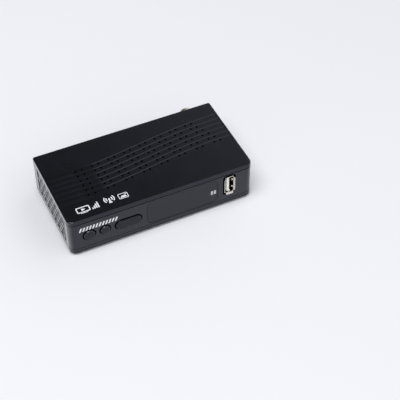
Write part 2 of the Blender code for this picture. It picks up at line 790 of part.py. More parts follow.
def lozenges():
    """The raised lozenges in the side panels, in staggered rows."""
    low, high = relief_heights()
    column_pitch = (CASE_DEPTH - RELIEF_BACK_INSET - RELIEF_FRONT) / RELIEF_COLUMNS
    row_pitch = (high - low) / RELIEF_ROWS
    half_width = column_pitch * LOZENGE_WIDTH_SHARE / 2
    half_height = row_pitch * LOZENGE_HEIGHT_SHARE / 2
    foot = RELIEF_DEPTH + WALL / 8
    rise = foot - LOZENGE_SHY
    middle = CASE_WIDTH / 2 - (foot + LOZENGE_SHY) / 2
    size = Matrix.Diagonal((half_height, half_width, rise)).to_4x4()
    builder = bmesh.new()
    for row in range(RELIEF_ROWS):
        shift = row % 2
        height = low + (row + 0.5) * row_pitch
        for column in range(RELIEF_COLUMNS - shift):
            depth = RELIEF_FRONT + (column + 0.5 + shift / 2) * column_pitch
            for side in (-1, 1):
                place = Matrix.Translation((side * middle, back(depth), height))
                turn = Matrix.Rotation(math.radians(90 * side), 4, 'Y')
                bmesh.ops.create_cone(builder, cap_ends=True, segments=4, radius1=1,
                                      radius2=LOZENGE_FACE_SHARE, depth=1, matrix=place @ turn @ size)
    return shape_from(builder, "lozenges")


def top_cover():
    """Roof, side walls and front lip in one moulding, with four screw bosses inside."""
    shape = cover_blank()
    cut(shape, plate("cover cavity", [cavity_plan()], TRAY_BOTTOM, CEILING))
    front_low = (-OVERRUN, -OVERRUN, TRAY_BOTTOM)
    front_high = (CASE_WIDTH + OVERRUN, BEZEL_RETURN + SEAM, HIGH_SEAM + SEAM / 2)
    cut(shape, box("front opening", front_low, front_high))
    base = FLOOR + TRAY_BOSS_HEIGHT + SEAT
    join(shape, upright_rods("cover bosses", case_screw_places(), BOSS_RADIUS, base, CEILING + WALL / 2))
    bore = SCREW_SHANK_RADIUS + SCREW_CLEARANCE
    reach = TRAY_BOTTOM + CASE_SCREW_LENGTH + SCREW_HEAD_HEIGHT + SEAT + WALL
    cut(shape, upright_rods("cover boss bores", case_screw_places(), bore, base - OVERRUN, reach))
    cut(shape, relief_recess())
    join(shape, lozenges())
    cut(shape, vent_channels())
    cut(shape, vent_holes())
    return finish(shape, "top_cover", "cover plastic")


def floor_slots():
    """Cutters of the slots under the main board, in two rows."""
    across_span = (FLOOR_SLOT_COUNT - 1) * FLOOR_SLOT_PITCH
    deep_span = (FLOOR_SLOT_ROWS - 1) * FLOOR_ROW_PITCH
    corners = []
    for row in range(FLOOR_SLOT_ROWS):
        middle_y = CASE_DEPTH / 2 - deep_span / 2 + row * FLOOR_ROW_PITCH
        for slot in range(FLOOR_SLOT_COUNT):
            middle_x = CASE_WIDTH / 2 - across_span / 2 + slot * FLOOR_SLOT_PITCH
            low = (middle_x - FLOOR_SLOT_WIDTH / 2, middle_y - FLOOR_SLOT_LENGTH / 2, TRAY_BOTTOM - OVERRUN)
            high = (middle_x + FLOOR_SLOT_WIDTH / 2, middle_y + FLOOR_SLOT_LENGTH / 2, FLOOR + OVERRUN)
            corners.append((low, high))
    return cuboids("floor slots", corners)


def tray_blank():
    """The tray's outer block with its rounded bottom edge."""
    shape = plate("bottom_case", [case_plan()], TRAY_BOTTOM, LOW_SEAM - SEAM / 2)
    builder = bmesh.new()
    builder.from_mesh(shape.data)
    near_bottom = TRAY_BOTTOM + SEAM / 10
    edges = [edge for edge in builder.edges if all(vert.co.z < near_bottom for vert in edge.verts)]
    bmesh.ops.bevel(builder, geom=edges, offset=TRAY_EDGE, segments=3, profile=0.5, affect='EDGES')
    builder.to_mesh(shape.data)
    builder.free()
    return shape


def tray_groove():
    """Cutter of the fine groove round the tray's wall."""
    low = TRAY_BOTTOM + GROOVE_HEIGHT - GROOVE_WIDTH / 2
    loops = [case_plan(-OVERRUN), case_plan(GROOVE_DEPTH)]
    return plate("tray groove", loops, low, low + GROOVE_WIDTH)


def locating_ribs():
    """Two low ribs that stand inside the cover's side walls."""
    near = RIB_START
    far = RIB_START + RIB_LENGTH
    start = WALL + SEAM
    low = FLOOR - WALL / 2
    high = LOW_SEAM + RIB_RISE
    left = ((start, near, low), (start + RIB_WIDTH, far, high))
    right = ((CASE_WIDTH - start - RIB_WIDTH, near, low), (CASE_WIDTH - start, far, high))
    return cuboids("locating ribs", [left, right])


def bottom_case():
    """The tray: floor, low wall, bosses for the case screws and standoffs for the main board."""
    shape = tray_blank()
    cut(shape, plate("tray cavity", [cavity_plan()], FLOOR, LOW_SEAM + OVERRUN))
    cut(shape, tray_groove())
    rooted = FLOOR - WALL / 2
    boss_top = FLOOR + TRAY_BOSS_HEIGHT
    join(shape, upright_rods("tray bosses", case_screw_places(), BOSS_RADIUS, rooted, boss_top))
    join(shape, upright_rods("board standoffs", standoff_places(), STANDOFF_RADIUS, rooted, BOARD_BOTTOM - SEAT))
    join(shape, locating_ribs())
    bore = SCREW_SHANK_RADIUS + SCREW_CLEARANCE
    below = TRAY_BOTTOM - OVERRUN
    cut(shape, upright_rods("case screw holes", case_screw_places(), bore, below, boss_top + OVERRUN))
    head_room = SCREW_HEAD_RADIUS + SCREW_CLEARANCE
    head_top = TRAY_BOTTOM + SEAT + SCREW_HEAD_HEIGHT + SEAT
    cut(shape, upright_rods("case screw heads", case_screw_places(), head_room, below, head_top))
    cut(shape, upright_rods("standoff bores", standoff_places(), bore, FLOOR, BOARD_TOP))
    recess_top = TRAY_BOTTOM + FOOT_RECESS
    recess = FOOT_RADIUS + SEAT
    cut(shape, upright_rods("foot recesses", foot_places(), recess, below, recess_top, ROUND_STEPS))
    cut(shape, floor_slots())
    return finish(shape, "bottom_case", "panel plastic")


def window_loop(grow):
    """The display window's outline as seen from the front, grown by an amount."""
    low = (WINDOW_LEFT - grow, WINDOW_LOW - grow)
    high = (WINDOW_RIGHT + grow, WINDOW_HIGH + grow)
    return rounded_rectangle(low, high, WINDOW_CORNER + grow)


def usb_loop(width, height, corner, offset=0.0):
    """A rounded rectangle round the USB port's middle."""
    low = (USB_X + offset - width / 2, USB_Z - height / 2)
    high = (USB_X + offset + width / 2, USB_Z + height / 2)
    return rounded_rectangle(low, high, corner, CORNER_STEPS // 2)


def bezel_tongues():
    """Tongues behind the panel that the cover's lip and the tray's wall hold."""
    near = WALL + SEAM
    far = near + TONGUE_THICKNESS
    low_edge = LOW_SEAM + SEAM / 2
    high_edge = HIGH_SEAM - SEAM / 2
    right_span = (CASE_WIDTH - RIGHT_TONGUE_INSETS[0], CASE_WIDTH - RIGHT_TONGUE_INSETS[1])
    corners = []
    for start, end in (LEFT_TONGUE, right_span):
        corners.append(((start, near, low_edge - TONGUE_REACH), (end, far, low_edge + TONGUE_ROOT)))
        corners.append(((start, near, high_edge - TONGUE_ROOT), (end, far, high_edge + TONGUE_REACH)))
    return cuboids("bezel tongues", corners)


def rocker_ear_span(side):
    """The heights between which an ear for the rocker's pin stands, above or below it."""
    inner = ROCKER_Z + side * (ROCKER_HALF_HEIGHT + SEAM)
    outer = inner + side * (ROCKER_PIN_LENGTH + SEAM)
    return min(inner, outer), max(inner, outer)


def rocker_ears():
    """The two ears behind the panel that carry the rocker's pins."""
    corners = []
    for side in (-1, 1):
        low, high = rocker_ear_span(side)
        near = BEZEL_WALL - WALL / 4
        far = BEZEL_WALL + EAR_REACH
        start = ROCKER_FROM_LEFT - EAR_WIDTH / 2
        corners.append(((start, near, low), (start + EAR_WIDTH, far, high)))
    return cuboids("rocker ears", corners)


def front_bezel():
    """The front panel with its openings, its tongues, the rocker's ears and the board's posts."""
    shape = plate("front_bezel", [bezel_plan()], LOW_SEAM + SEAM / 2, HIGH_SEAM - SEAM / 2)
    openings = [
        circle((POWER_FROM_LEFT, BUTTON_Z), POWER_HOLE_RADIUS),
        circle((MENU_FROM_LEFT, BUTTON_Z), MENU_HOLE_RADIUS),
        stadium((ROCKER_FROM_LEFT, ROCKER_Z), ROCKER_HOLE_LENGTH, ROCKER_HOLE_HEIGHT),
        window_loop(SEAM),
        usb_loop(USB_APERTURE_WIDTH, USB_APERTURE_HEIGHT, USB_APERTURE_CORNER),
    ]
    cut(shape, panel("bezel openings", openings, -OVERRUN, BEZEL_WALL + OVERRUN))
    join(shape, bezel_tongues())
    join(shape, rocker_ears())
    low = rocker_ear_span(-1)[0] - OVERRUN
    high = rocker_ear_span(1)[1] + OVERRUN
    pivot = (ROCKER_FROM_LEFT, ROCKER_PIVOT)
    bore = ROCKER_PIN_RADIUS + ROCKER_PIN_CLEARANCE
    cut(shape, upright_rods("rocker pin bores", [pivot], bore, low, high))
    back_face = FRONT_BOARD_FRONT - SEAT
    posts = [((x, BEZEL_WALL - WALL / 2, z), (x, back_face, z)) for x, z in post_places()]
    join(shape, rods("board posts", posts, POST_RADIUS))
    bore = SCREW_SHANK_RADIUS + SCREW_CLEARANCE
    holes = [((x, BEZEL_WALL, z), (x, back_face + OVERRUN, z)) for x, z in post_places()]
    cut(shape, rods("post bores", holes, bore))
    return finish(shape, "front_bezel", "panel plastic")


def display_window():
    """The smoked window: a plug in the panel's opening and a flange behind it."""
    shape = panel("display_window", [window_loop(0.0)], WINDOW_SHY, FLANGE_FRONT + FLANGE_THICKNESS / 2)
    join(shape, panel("window flange", [window_loop(WINDOW_FLANGE)], FLANGE_FRONT, FLANGE_BACK))
    return finish(shape, "display_window", "smoked acrylic")


def round_button(name, from_left, hole_radius):
    """A round button: domed cap, flange behind the panel, and stem down to its switch."""
    cap = hole_radius - BUTTON_CLEARANCE
    face = BUTTON_PROUD
    shoulder = face - BUTTON_DOME
    profile = [(0.0, face)]
    for step in range(1, 5):
        angle = math.radians(90 * step / 4)
        profile.append((cap * math.sin(angle), shoulder + BUTTON_DOME * math.cos(angle)))
    profile += [
        (cap, -FLANGE_FRONT),
        (cap + FLANGE_WIDTH, -FLANGE_FRONT),
        (cap + FLANGE_WIDTH, -FLANGE_BACK),
        (STEM_RADIUS, -FLANGE_BACK),
        (STEM_RADIUS, -STEM_END),
        (0.0, -STEM_END),
    ]
    shape = facing(turned(name, profile), from_left, 0.0, BUTTON_Z, "front")
    return finish(shape, name, "button plastic")


def channel_rocker():
    """The long rocker: rounded cap, flange, two pads over its switches and a pin at top and bottom."""
    middle = (ROCKER_FROM_LEFT, ROCKER_Z)
    length = ROCKER_HOLE_LENGTH - BUTTON_CLEARANCE - BUTTON_CLEARANCE
    height = ROCKER_HOLE_HEIGHT - BUTTON_CLEARANCE - BUTTON_CLEARANCE
    flange_front = BEZEL_WALL + ROCKER_SWING
    flange_back = flange_front + ROCKER_FLANGE
    cap_back = flange_front + ROCKER_FLANGE / 2
    shape = panel("channel_rocker", [stadium(middle, length, height)], -BUTTON_PROUD, cap_back)
    builder = bmesh.new()
    builder.from_mesh(shape.data)
    near_face = back(-BUTTON_PROUD) + SEAM / 10
    rim = [edge for edge in builder.edges if all(vert.co.y < near_face for vert in edge.verts)]
    bmesh.ops.bevel(builder, geom=rim, offset=ROCKER_EDGE, segments=3, profile=0.5, affect='EDGES')
    builder.to_mesh(shape.data)
    builder.free()
    wide = length + FLANGE_WIDTH + FLANGE_WIDTH
    tall = height + FLANGE_WIDTH + FLANGE_WIDTH
    join(shape, panel("rocker flange", [stadium(middle, wide, tall)], flange_front, flange_back))
    reach = ROCKER_HALF_HEIGHT + ROCKER_PIN_LENGTH
    join(shape, upright_rods("rocker pins", [(ROCKER_FROM_LEFT, ROCKER_PIVOT)], ROCKER_PIN_RADIUS,
                             ROCKER_Z - reach, ROCKER_Z + reach))
    pads = []
    for side in (-1, 1):
        x = ROCKER_FROM_LEFT + side * ROCKER_PAD_OFFSET
        pads.append(((x, cap_back, ROCKER_Z), (x, STEM_END, ROCKER_Z)))
    join(shape, rods("rocker pads", pads, ROCKER_PAD_RADIUS))
    return finish(shape, "channel_rocker", "button plastic")


def push_switch(name, from_left, height):
    """A push switch's housing, with the bore that its plunger slides in."""
    half = SWITCH_SIZE / 2
    low = (from_left - half, SWITCH_FRONT, height - half)
    high = (from_left + half, SWITCH_BACK, height + half)
    shape = box(name, low, high)
    start = (from_left, SWITCH_FRONT - OVERRUN, height)
    end = (from_left, SWITCH_BACK - SWITCH_FLOOR, height)
    cut(shape, rods(name + " bore", [(start, end)], PLUNGER_RADIUS + PLUNGER_CLEARANCE))
    return finish(shape, name, "black moulding")


def plunger(name, from_left, height):
    """The sliding middle of a push switch."""
    start = (from_left, PLUNGER_TIP, height)
    end = (from_left, PLUNGER_TIP + PLUNGER_LENGTH, height)
    return finish(rods(name, [(start, end)], PLUNGER_RADIUS), name, "white moulding")


def buttons_and_switches():
    """Both round buttons and the rocker, each hung on its joint's empty with its plungers."""
    for name, from_left, hole_radius in (
            ("power", POWER_FROM_LEFT, POWER_HOLE_RADIUS),
            ("menu", MENU_FROM_LEFT, MENU_HOLE_RADIUS)):
        button = round_button(name + "_button", from_left, hole_radius)
        push_switch(name + "_switch", from_left, BUTTON_Z)
        inner = plunger(name + "_plunger", from_left, BUTTON_Z)
        pivot = empty_at(name + " slide", from_left, 0.0, BUTTON_Z)
        button.location = (0.0, 0.0, 0.0)
        button.parent = pivot
        hang_on(pivot, inner)
    rocker = channel_rocker()
    pivot = empty_at("rocker pivot", ROCKER_FROM_LEFT, ROCKER_PIVOT, ROCKER_Z)
    hang_on(pivot, rocker)
    for name, side in (("channel_down", -1), ("channel_up", 1)):
        from_left = ROCKER_FROM_LEFT + side * ROCKER_PAD_OFFSET
        push_switch(name + "_switch", from_left, ROCKER_Z)
        hang_on(pivot, plunger(name + "_plunger", from_left, ROCKER_Z))


def front_board():
    """The upright board behind the front panel."""
    left = FRONT_BOARD_FROM_LEFT
    right = CASE_WIDTH - FRONT_BOARD_FROM_RIGHT
    low = FLOOR + SEAT
    high = CEILING - FRONT_BOARD_TOP_GAP
    hole = SCREW_SHANK_RADIUS + SCREW_CLEARANCE
    loops = [[(left, low), (right, low), (right, high), (left, high)]]
    loops += [circle(place, hole, SMALL_STEPS) for place in post_places()]
    shape = panel("front_board", loops, FRONT_BOARD_FRONT, FRONT_BOARD_BACK)
    return finish(shape, "front_board", "green board")


def main_board():
    """The flat board, with an ear that runs forward under the USB port."""
    left = MAIN_BOARD_SIDE
    right = CASE_WIDTH - MAIN_BOARD_SIDE
    ear = right - MAIN_BOARD_EAR_WIDTH
    far = CASE_DEPTH - MAIN_BOARD_BACK_INSET
    outline = [(left, MAIN_BOARD_FRONT), (ear, MAIN_BOARD_FRONT), (ear, MAIN_BOARD_EAR_FRONT),
               (right, MAIN_BOARD_EAR_FRONT), (right, far), (left, far)]
    hole = SCREW_SHANK_RADIUS + SCREW_CLEARANCE
    loops = [outline] + [circle(place, hole, SMALL_STEPS) for place in standoff_places()]
    return finish(plate("main_board", loops, BOARD_BOTTOM, BOARD_TOP), "main_board", "green board")


def display_parts():
    """The LED display, the infrared receiver and the standby light on the front board."""
    low = (WINDOW_LEFT + DISPLAY_SIDE_INSET, FLANGE_BACK + SEAT, WINDOW_LOW + DISPLAY_END_INSET)
    high = (WINDOW_RIGHT - DISPLAY_SIDE_INSET, SWITCH_BACK, WINDOW_HIGH - DISPLAY_END_INSET)
    finish(bevelled(box("display_module", low, high), DISPLAY_EDGE), "display_module", "black moulding")

    sensor_x = CASE_WIDTH - SENSOR_FROM_RIGHT
    sensor_low = TRAY_BOTTOM + SENSOR_RISE
    half = SENSOR_WIDTH / 2
    front = SWITCH_BACK - SENSOR_DEPTH
    sensor = box("infrared_receiver", (sensor_x - half, front, sensor_low),
                 (sensor_x + half, SWITCH_BACK, sensor_low + SENSOR_HEIGHT))
    ball = bmesh.new()
    centre = Matrix.Translation((across(sensor_x), back(front), sensor_low + SENSOR_HEIGHT / 2))
    turn = Matrix.Rotation(math.radians(90), 4, 'X')
    bmesh.ops.create_uvsphere(ball, u_segments=16, v_segments=8, radius=SENSOR_LENS_RADIUS, matrix=centre @ turn)
    join(sensor, shape_from(ball, "sensor lens"))
    finish(sensor, "infrared_receiver", "sensor resin")

    front = FLANGE_BACK + SEAT
    length = SWITCH_BACK - front
    wide = LIGHT_RADIUS + LIGHT_FLANGE
    profile = [(0.0, 0.0)]
    for step in range(1, 5):
        angle = math.radians(90 * step / 4)
        profile.append((LIGHT_RADIUS * math.sin(angle), LIGHT_RADIUS * (math.cos(angle) - 1)))
    profile += [(LIGHT_RADIUS, LIGHT_FLANGE - length), (wide, LIGHT_FLANGE - length), (wide, -length), (0.0, -length)]
    light = turned("standby_light", profile, SMALL_STEPS)
    facing(light, LIGHT_FROM_LEFT, front, WINDOW_HIGH - LIGHT_TOP_INSET, "front")
    finish(light, "standby_light", "lamp resin")


def link_header():
    """The pin header that joins the two boards."""
    near = FRONT_BOARD_BACK + SEAT
    body_front = MAIN_BOARD_FRONT + SEAT
    low = ON_BOARD
    left = HEADER_FROM_LEFT - HEADER_LENGTH / 2
    shape = box("link_header", (left, body_front, low),
                (left + HEADER_LENGTH, body_front + HEADER_DEPTH, low + HEADER_HEIGHT))
    pitch = HEADER_LENGTH / HEADER_PINS
    pin_low = low + HEADER_HEIGHT / 2 - HEADER_PIN_WIDTH / 2
    pins = []
    for pin in range(HEADER_PINS):
        start = left + (pin + 0.5) * pitch - HEADER_PIN_WIDTH / 2
        pins.append(((start, near, pin_low),
                     (start + HEADER_PIN_WIDTH, body_front + HEADER_DEPTH / 2, pin_low + HEADER_PIN_WIDTH)))
    join(shape, cuboids("header pins", pins))
    return finish(shape, "link_header", "black moulding")


def usb_lips():
    """The four flared lips at the mouth of the USB shell."""
    length = USB_LIP + USB_SHEET / 2
    ahead = Matrix.Translation((0.0, USB_SHEET / 2 - length / 2, 0.0))
    place = Matrix.Translation((across(USB_X), back(USB_MOUTH), USB_Z))
    spans = ((USB_BODY_WIDTH, USB_BODY_HEIGHT, 0), (USB_BODY_HEIGHT, USB_BODY_WIDTH, 90))
    builder = bmesh.new()
    for span, width, roll in spans:
        size = Matrix.Diagonal((USB_SHEET, length, width * USB_LIP_SHARE)).to_4x4()
        rolled = place @ Matrix.Rotation(math.radians(roll), 4, 'Y')
        for side in (-1, 1):
            root = Matrix.Translation((side * (span - USB_SHEET) / 2, 0.0, 0.0))
            swing = Matrix.Rotation(side * USB_LIP_TURN, 4, 'Z')
            bmesh.ops.create_cube(builder, size=1, matrix=rolled @ root @ swing @ ahead @ size)
    return shape_from(builder, "usb lips")


def usb_port():
    """The upright USB-A port: its folded shell and the tongue inside it."""
    inner_width = USB_BODY_WIDTH - USB_SHEET - USB_SHEET
    inner_height = USB_BODY_HEIGHT - USB_SHEET - USB_SHEET
    loops = [usb_loop(USB_BODY_WIDTH, USB_BODY_HEIGHT, USB_CORNER),
             usb_loop(inner_width, inner_height, USB_CORNER - USB_SHEET)]
    rear = USB_MOUTH + USB_BODY_LENGTH
    shell = panel("usb_shell", loops, USB_MOUTH, rear)
    join(shell, usb_lips())
    finish(shell, "usb_shell", "nickel plate")
    block_loop = usb_loop(inner_width - SEAM - SEAM, inner_height - SEAM - SEAM, USB_CORNER - USB_SHEET)
    block = panel("usb_tongue", [block_loop], rear - USB_BACK_LENGTH, rear)
    tongue_left = USB_X - USB_TONGUE_OFFSET - USB_TONGUE_THICKNESS / 2
    tongue_low = USB_Z - USB_TONGUE_HEIGHT / 2
    tongue = box("usb tongue plate", (tongue_left, USB_MOUTH + USB_TONGUE_START, tongue_low),
                 (tongue_left + USB_TONGUE_THICKNESS, rear - USB_BACK_LENGTH / 2, tongue_low + USB_TONGUE_HEIGHT))
    join(block, tongue)
    finish(block, "usb_tongue", "white moulding")


def tuner_and_antenna():
    """The tuner's can, and the coaxial antenna socket that stands out of its back."""
    left = ANTENNA_X - CAN_WIDTH / 2 - CAN_SIDE_OFFSET
    low = (left, CAN_BACK - CAN_LENGTH, ON_BOARD)
    can = box("tuner_can", low, (left + CAN_WIDTH, CAN_BACK, ON_BOARD + CAN_HEIGHT))
    finish(bevelled(can, CAN_EDGE), "tuner_can", "tinned steel")

    root = CAN_BACK + SEAT
    length = CASE_DEPTH + ANTENNA_REACH - root
    seat_depth = ANTENNA_FLANGE + ANTENNA_RIM
    ring_root = length - ANTENNA_REACH / 2
    ring_radius = ANTENNA_RADIUS - ANTENNA_RIM / 2
    profile = [
        (0.0, seat_depth),
        (ANTENNA_BORE, seat_depth),
        (ANTENNA_BORE, length - ANTENNA_RIM),
        (ANTENNA_BORE + ANTENNA_RIM / 2, length),
        (ANTENNA_RADIUS - ANTENNA_RIM, length),
        (ANTENNA_RADIUS, length - ANTENNA_RIM),
        (ANTENNA_RADIUS, ring_root + ANTENNA_RING),
        (ring_radius, ring_root + ANTENNA_RING),
        (ring_radius, ring_root),
        (ANTENNA_RADIUS, ring_root),
        (ANTENNA_RADIUS, ANTENNA_FLANGE),
        (ANTENNA_FLANGE_RADIUS, ANTENNA_FLANGE),
        (ANTENNA_FLANGE_RADIUS, 0.0),
        (0.0, 0.0),
    ]
    sleeve = facing(turned("antenna_socket", profile), ANTENNA_X, root, ANTENNA_Z, "back")
    finish(sleeve, "antenna_socket", "nickel plate")

    insulator_root = root + seat_depth + SEAT
    outer = ANTENNA_BORE - SEAT
    profile = [(0.0, INSULATOR_DEPTH), (outer, INSULATOR_DEPTH), (outer, 0.0), (0.0, 0.0)]
    disc = turned("antenna_insulator", profile)
    finish(facing(disc, ANTENNA_X, insulator_root, ANTENNA_Z, "back"), "antenna_insulator", "white moulding")

    contact_root = insulator_root + INSULATOR_DEPTH + SEAT
    profile = [
        (0.0, CONTACT_LENGTH / 4),
        (CONTACT_BORE, CONTACT_LENGTH / 4),
        (CONTACT_BORE, CONTACT_LENGTH),
        (CONTACT_RADIUS, CONTACT_LENGTH),
        (CONTACT_RADIUS, 0.0),
        (0.0, 0.0),
    ]
    contact = turned("antenna_contact", profile, SMALL_STEPS)
    finish(facing(contact, ANTENNA_X, contact_root, ANTENNA_Z, "back"), "antenna_contact", "gold plate")


def hdmi_loop(shrink, grow=0.0):
    """The HDMI shell's outline as seen from the back: a rectangle with sloped lower corners."""
    half = HDMI_WIDTH / 2 - shrink + grow
    low = ON_BOARD + shrink - grow
    high = ON_BOARD + HDMI_HEIGHT - shrink + grow
    slope = HDMI_SLOPE
    return [(HDMI_X - half + slope, low), (HDMI_X + half - slope, low), (HDMI_X + half, low + slope),
            (HDMI_X + half, high), (HDMI_X - half, high), (HDMI_X - half, low + slope)]


def hdmi_socket():
    """The HDMI socket: folded shell and insulating tongue."""
    rear = CASE_DEPTH
    front = rear - HDMI_LENGTH
    shell = panel("hdmi_shell", [hdmi_loop(0.0), hdmi_loop(HDMI_SHEET)], front, rear)
    finish(shell, "hdmi_shell", "nickel plate")
    block_end = front + HDMI_BACK_LENGTH
    block = panel("hdmi_tongue", [hdmi_loop(HDMI_SHEET + SEAM)], front, block_end)
    half = HDMI_TONGUE_WIDTH / 2
    middle = ON_BOARD + HDMI_HEIGHT / 2
    tongue = box("hdmi tongue plate",
                 (HDMI_X - half, front + HDMI_BACK_LENGTH / 2, middle - HDMI_TONGUE_THICKNESS / 2),
                 (HDMI_X + half, rear - HDMI_TONGUE_SHY, middle + HDMI_TONGUE_THICKNESS / 2))
    join(block, tongue)
    finish(block, "hdmi_tongue", "black moulding")


def round_socket(name, from_left, size, collar_radius, bore_radius, bore_depth):
    """A moulded jack: a block on the board, a collar through the rear panel and a bore down it."""
    width, length, height = size
    rear = PANEL_FRONT - SEAT
    block_low = (from_left - width / 2, rear - length, ON_BOARD)
    shape = box(name, block_low, (from_left + width / 2, rear, ON_BOARD + height))
    middle = ON_BOARD + height / 2
    mouth = CASE_DEPTH + COLLAR_PROUD
    collar = ((from_left, rear - length / 2, middle), (from_left, mouth, middle))
    join(shape, rods(name + " collar", [collar], collar_radius, ROUND_STEPS))
    bore = ((from_left, mouth - bore_depth, middle), (from_left, mouth + OVERRUN, middle))
    cut(shape, rods(name + " bore", [bore], bore_radius, ROUND_STEPS))
    return finish(shape, name, "black moulding")


def rear_jacks():
    """The audio and video jack, and the DC jack with its pin."""
    av_size = (AV_WIDTH, AV_LENGTH, AV_HEIGHT)
    round_socket("av_jack", AV_FROM_LEFT, av_size, AV_COLLAR_RADIUS, AV_BORE, AV_LENGTH)
    dc_size = (DC_WIDTH, DC_LENGTH, DC_HEIGHT)
    round_socket("dc_jack", DC_FROM_LEFT, dc_size, DC_COLLAR_RADIUS, DC_BORE, DC_BORE_DEPTH)
    root = CASE_DEPTH + COLLAR_PROUD - DC_BORE_DEPTH + SEAT
    length = DC_BORE_DEPTH - SEAT - COLLAR_PROUD - COLLAR_PROUD
    nose = length - DC_PIN_RADIUS / 2
    profile = [(0.0, length), (DC_PIN_RADIUS / 2, length), (DC_PIN_RADIUS, nose), (DC_PIN_RADIUS, 0.0), (0.0, 0.0)]
    pin = turned("dc_pin", profile, SMALL_STEPS)
    finish(facing(pin, DC_FROM_LEFT, root, ON_BOARD + DC_HEIGHT / 2, "back"), "dc_pin", "nickel plate")


def rear_panel():
    """The rear panel, with a hole for each socket."""
    left = WALL + SEAM
    low = FLOOR + SEAM
    high = CEILING - SEAM
    av_z = ON_BOARD + AV_HEIGHT / 2
    dc_z = ON_BOARD + DC_HEIGHT / 2
    loops = [
        [(left, low), (CASE_WIDTH - left, low), (CASE_WIDTH - left, high), (left, high)],
        circle((ANTENNA_X, ANTENNA_Z), ANTENNA_RADIUS + SOCKET_CLEARANCE),
        hdmi_loop(0.0, SOCKET_CLEARANCE),
        circle((AV_FROM_LEFT, av_z), AV_COLLAR_RADIUS + SOCKET_CLEARANCE),
        circle((DC_FROM_LEFT, dc_z), DC_COLLAR_RADIUS + SOCKET_CLEARANCE),
    ]
    return finish(panel("rear_panel", loops, PANEL_FRONT, CASE_DEPTH), "rear_panel", "panel plastic")


def place_at(shares):
    """A place in plan, from its shares of the case's width and depth."""
    return CASE_WIDTH * shares[0], CASE_DEPTH * shares[1]


def board_components():
    """The chips, heat sink, coil, crystal and capacitors on the main board."""
    chips = (("decoder_chip", DECODER_PLACE_SHARES, DECODER_SIZE), ("memory_chip", MEMORY_PLACE_SHARES, MEMORY_SIZE),
             ("flash_chip", FLASH_PLACE_SHARES, FLASH_SIZE))
    for name, shares, size in chips:
        finish(bevelled(standing_box(name, place_at(shares), size, ON_BOARD), CHIP_EDGE, 1), name, "chip resin")

    base = ON_BOARD + DECODER_SIZE[2] + SEAT
    middle_x, middle_y = place_at(DECODER_PLACE_SHARES)
    sink = standing_box("heat_sink", (middle_x, middle_y), HEAT_SINK_SIZE, base)
    width, depth, height = HEAT_SINK_SIZE
    pitch = width / (FIN_COUNT + 1)
    left = middle_x - width / 2
    near = middle_y - depth / 2 - OVERRUN
    far = middle_y + depth / 2 + OVERRUN
    gaps = []
    for gap in range(FIN_COUNT):
        middle = left + (gap + 1) * pitch
        low = (middle - FIN_GAP / 2, near, base + FIN_ROOT)
        gaps.append((low, (middle + FIN_GAP / 2, far, base + height + OVERRUN)))
    finish(cut(sink, cuboids("fin gaps", gaps)), "heat_sink", "finned aluminium")

    coil = standing_box("power_inductor", place_at(INDUCTOR_PLACE_SHARES), INDUCTOR_SIZE, ON_BOARD)
    bevelled(coil, INDUCTOR_EDGE)
    finish(coil, "power_inductor", "ferrite")

    length, depth, height = CRYSTAL_SIZE
    outline = stadium(place_at(CRYSTAL_PLACE_SHARES), length, depth, SMALL_STEPS // 2)
    can = plate("crystal", [outline], ON_BOARD, ON_BOARD + height)
    finish(can, "crystal", "tinned steel")

    for number in range(CAPACITOR_COUNT):
        name = f"capacitor_{number + 1}"
        x = CAPACITOR_FROM_LEFT + number * CAPACITOR_PITCH
        neck = CAPACITOR_RADIUS - CAPACITOR_NECK
        fold = CAPACITOR_HEIGHT / 7
        profile = [
            (0.0, CAPACITOR_HEIGHT),
            (neck, CAPACITOR_HEIGHT),
            (CAPACITOR_RADIUS, CAPACITOR_HEIGHT - CAPACITOR_NECK),
            (CAPACITOR_RADIUS, fold + CAPACITOR_NECK),
            (neck, fold),
            (CAPACITOR_RADIUS, fold - CAPACITOR_NECK),
            (CAPACITOR_RADIUS, 0.0),
            (0.0, 0.0),
        ]
        shape = facing(turned(name, profile, SMALL_STEPS), x, CASE_DEPTH - CAPACITOR_BACK_INSET, ON_BOARD, "up")
        finish(shape, name, "capacitor sleeve")


def feet():
    """Four rubber feet, let into the tray."""
    height = FOOT_HEIGHT + FOOT_RECESS - SEAT
    profile = [
        (0.0, height),
        (FOOT_RADIUS, height),
        (FOOT_RADIUS, FOOT_EDGE),
        (FOOT_RADIUS - FOOT_EDGE, 0.0),
        (0.0, 0.0),
    ]
    for number, (x, y) in enumerate(foot_places(), 1):
        foot = turned(f"foot_{number}", profile, ROUND_STEPS)
        finish(facing(foot, x, y, 0.0, "up"), f"foot_{number}", "foot rubber")


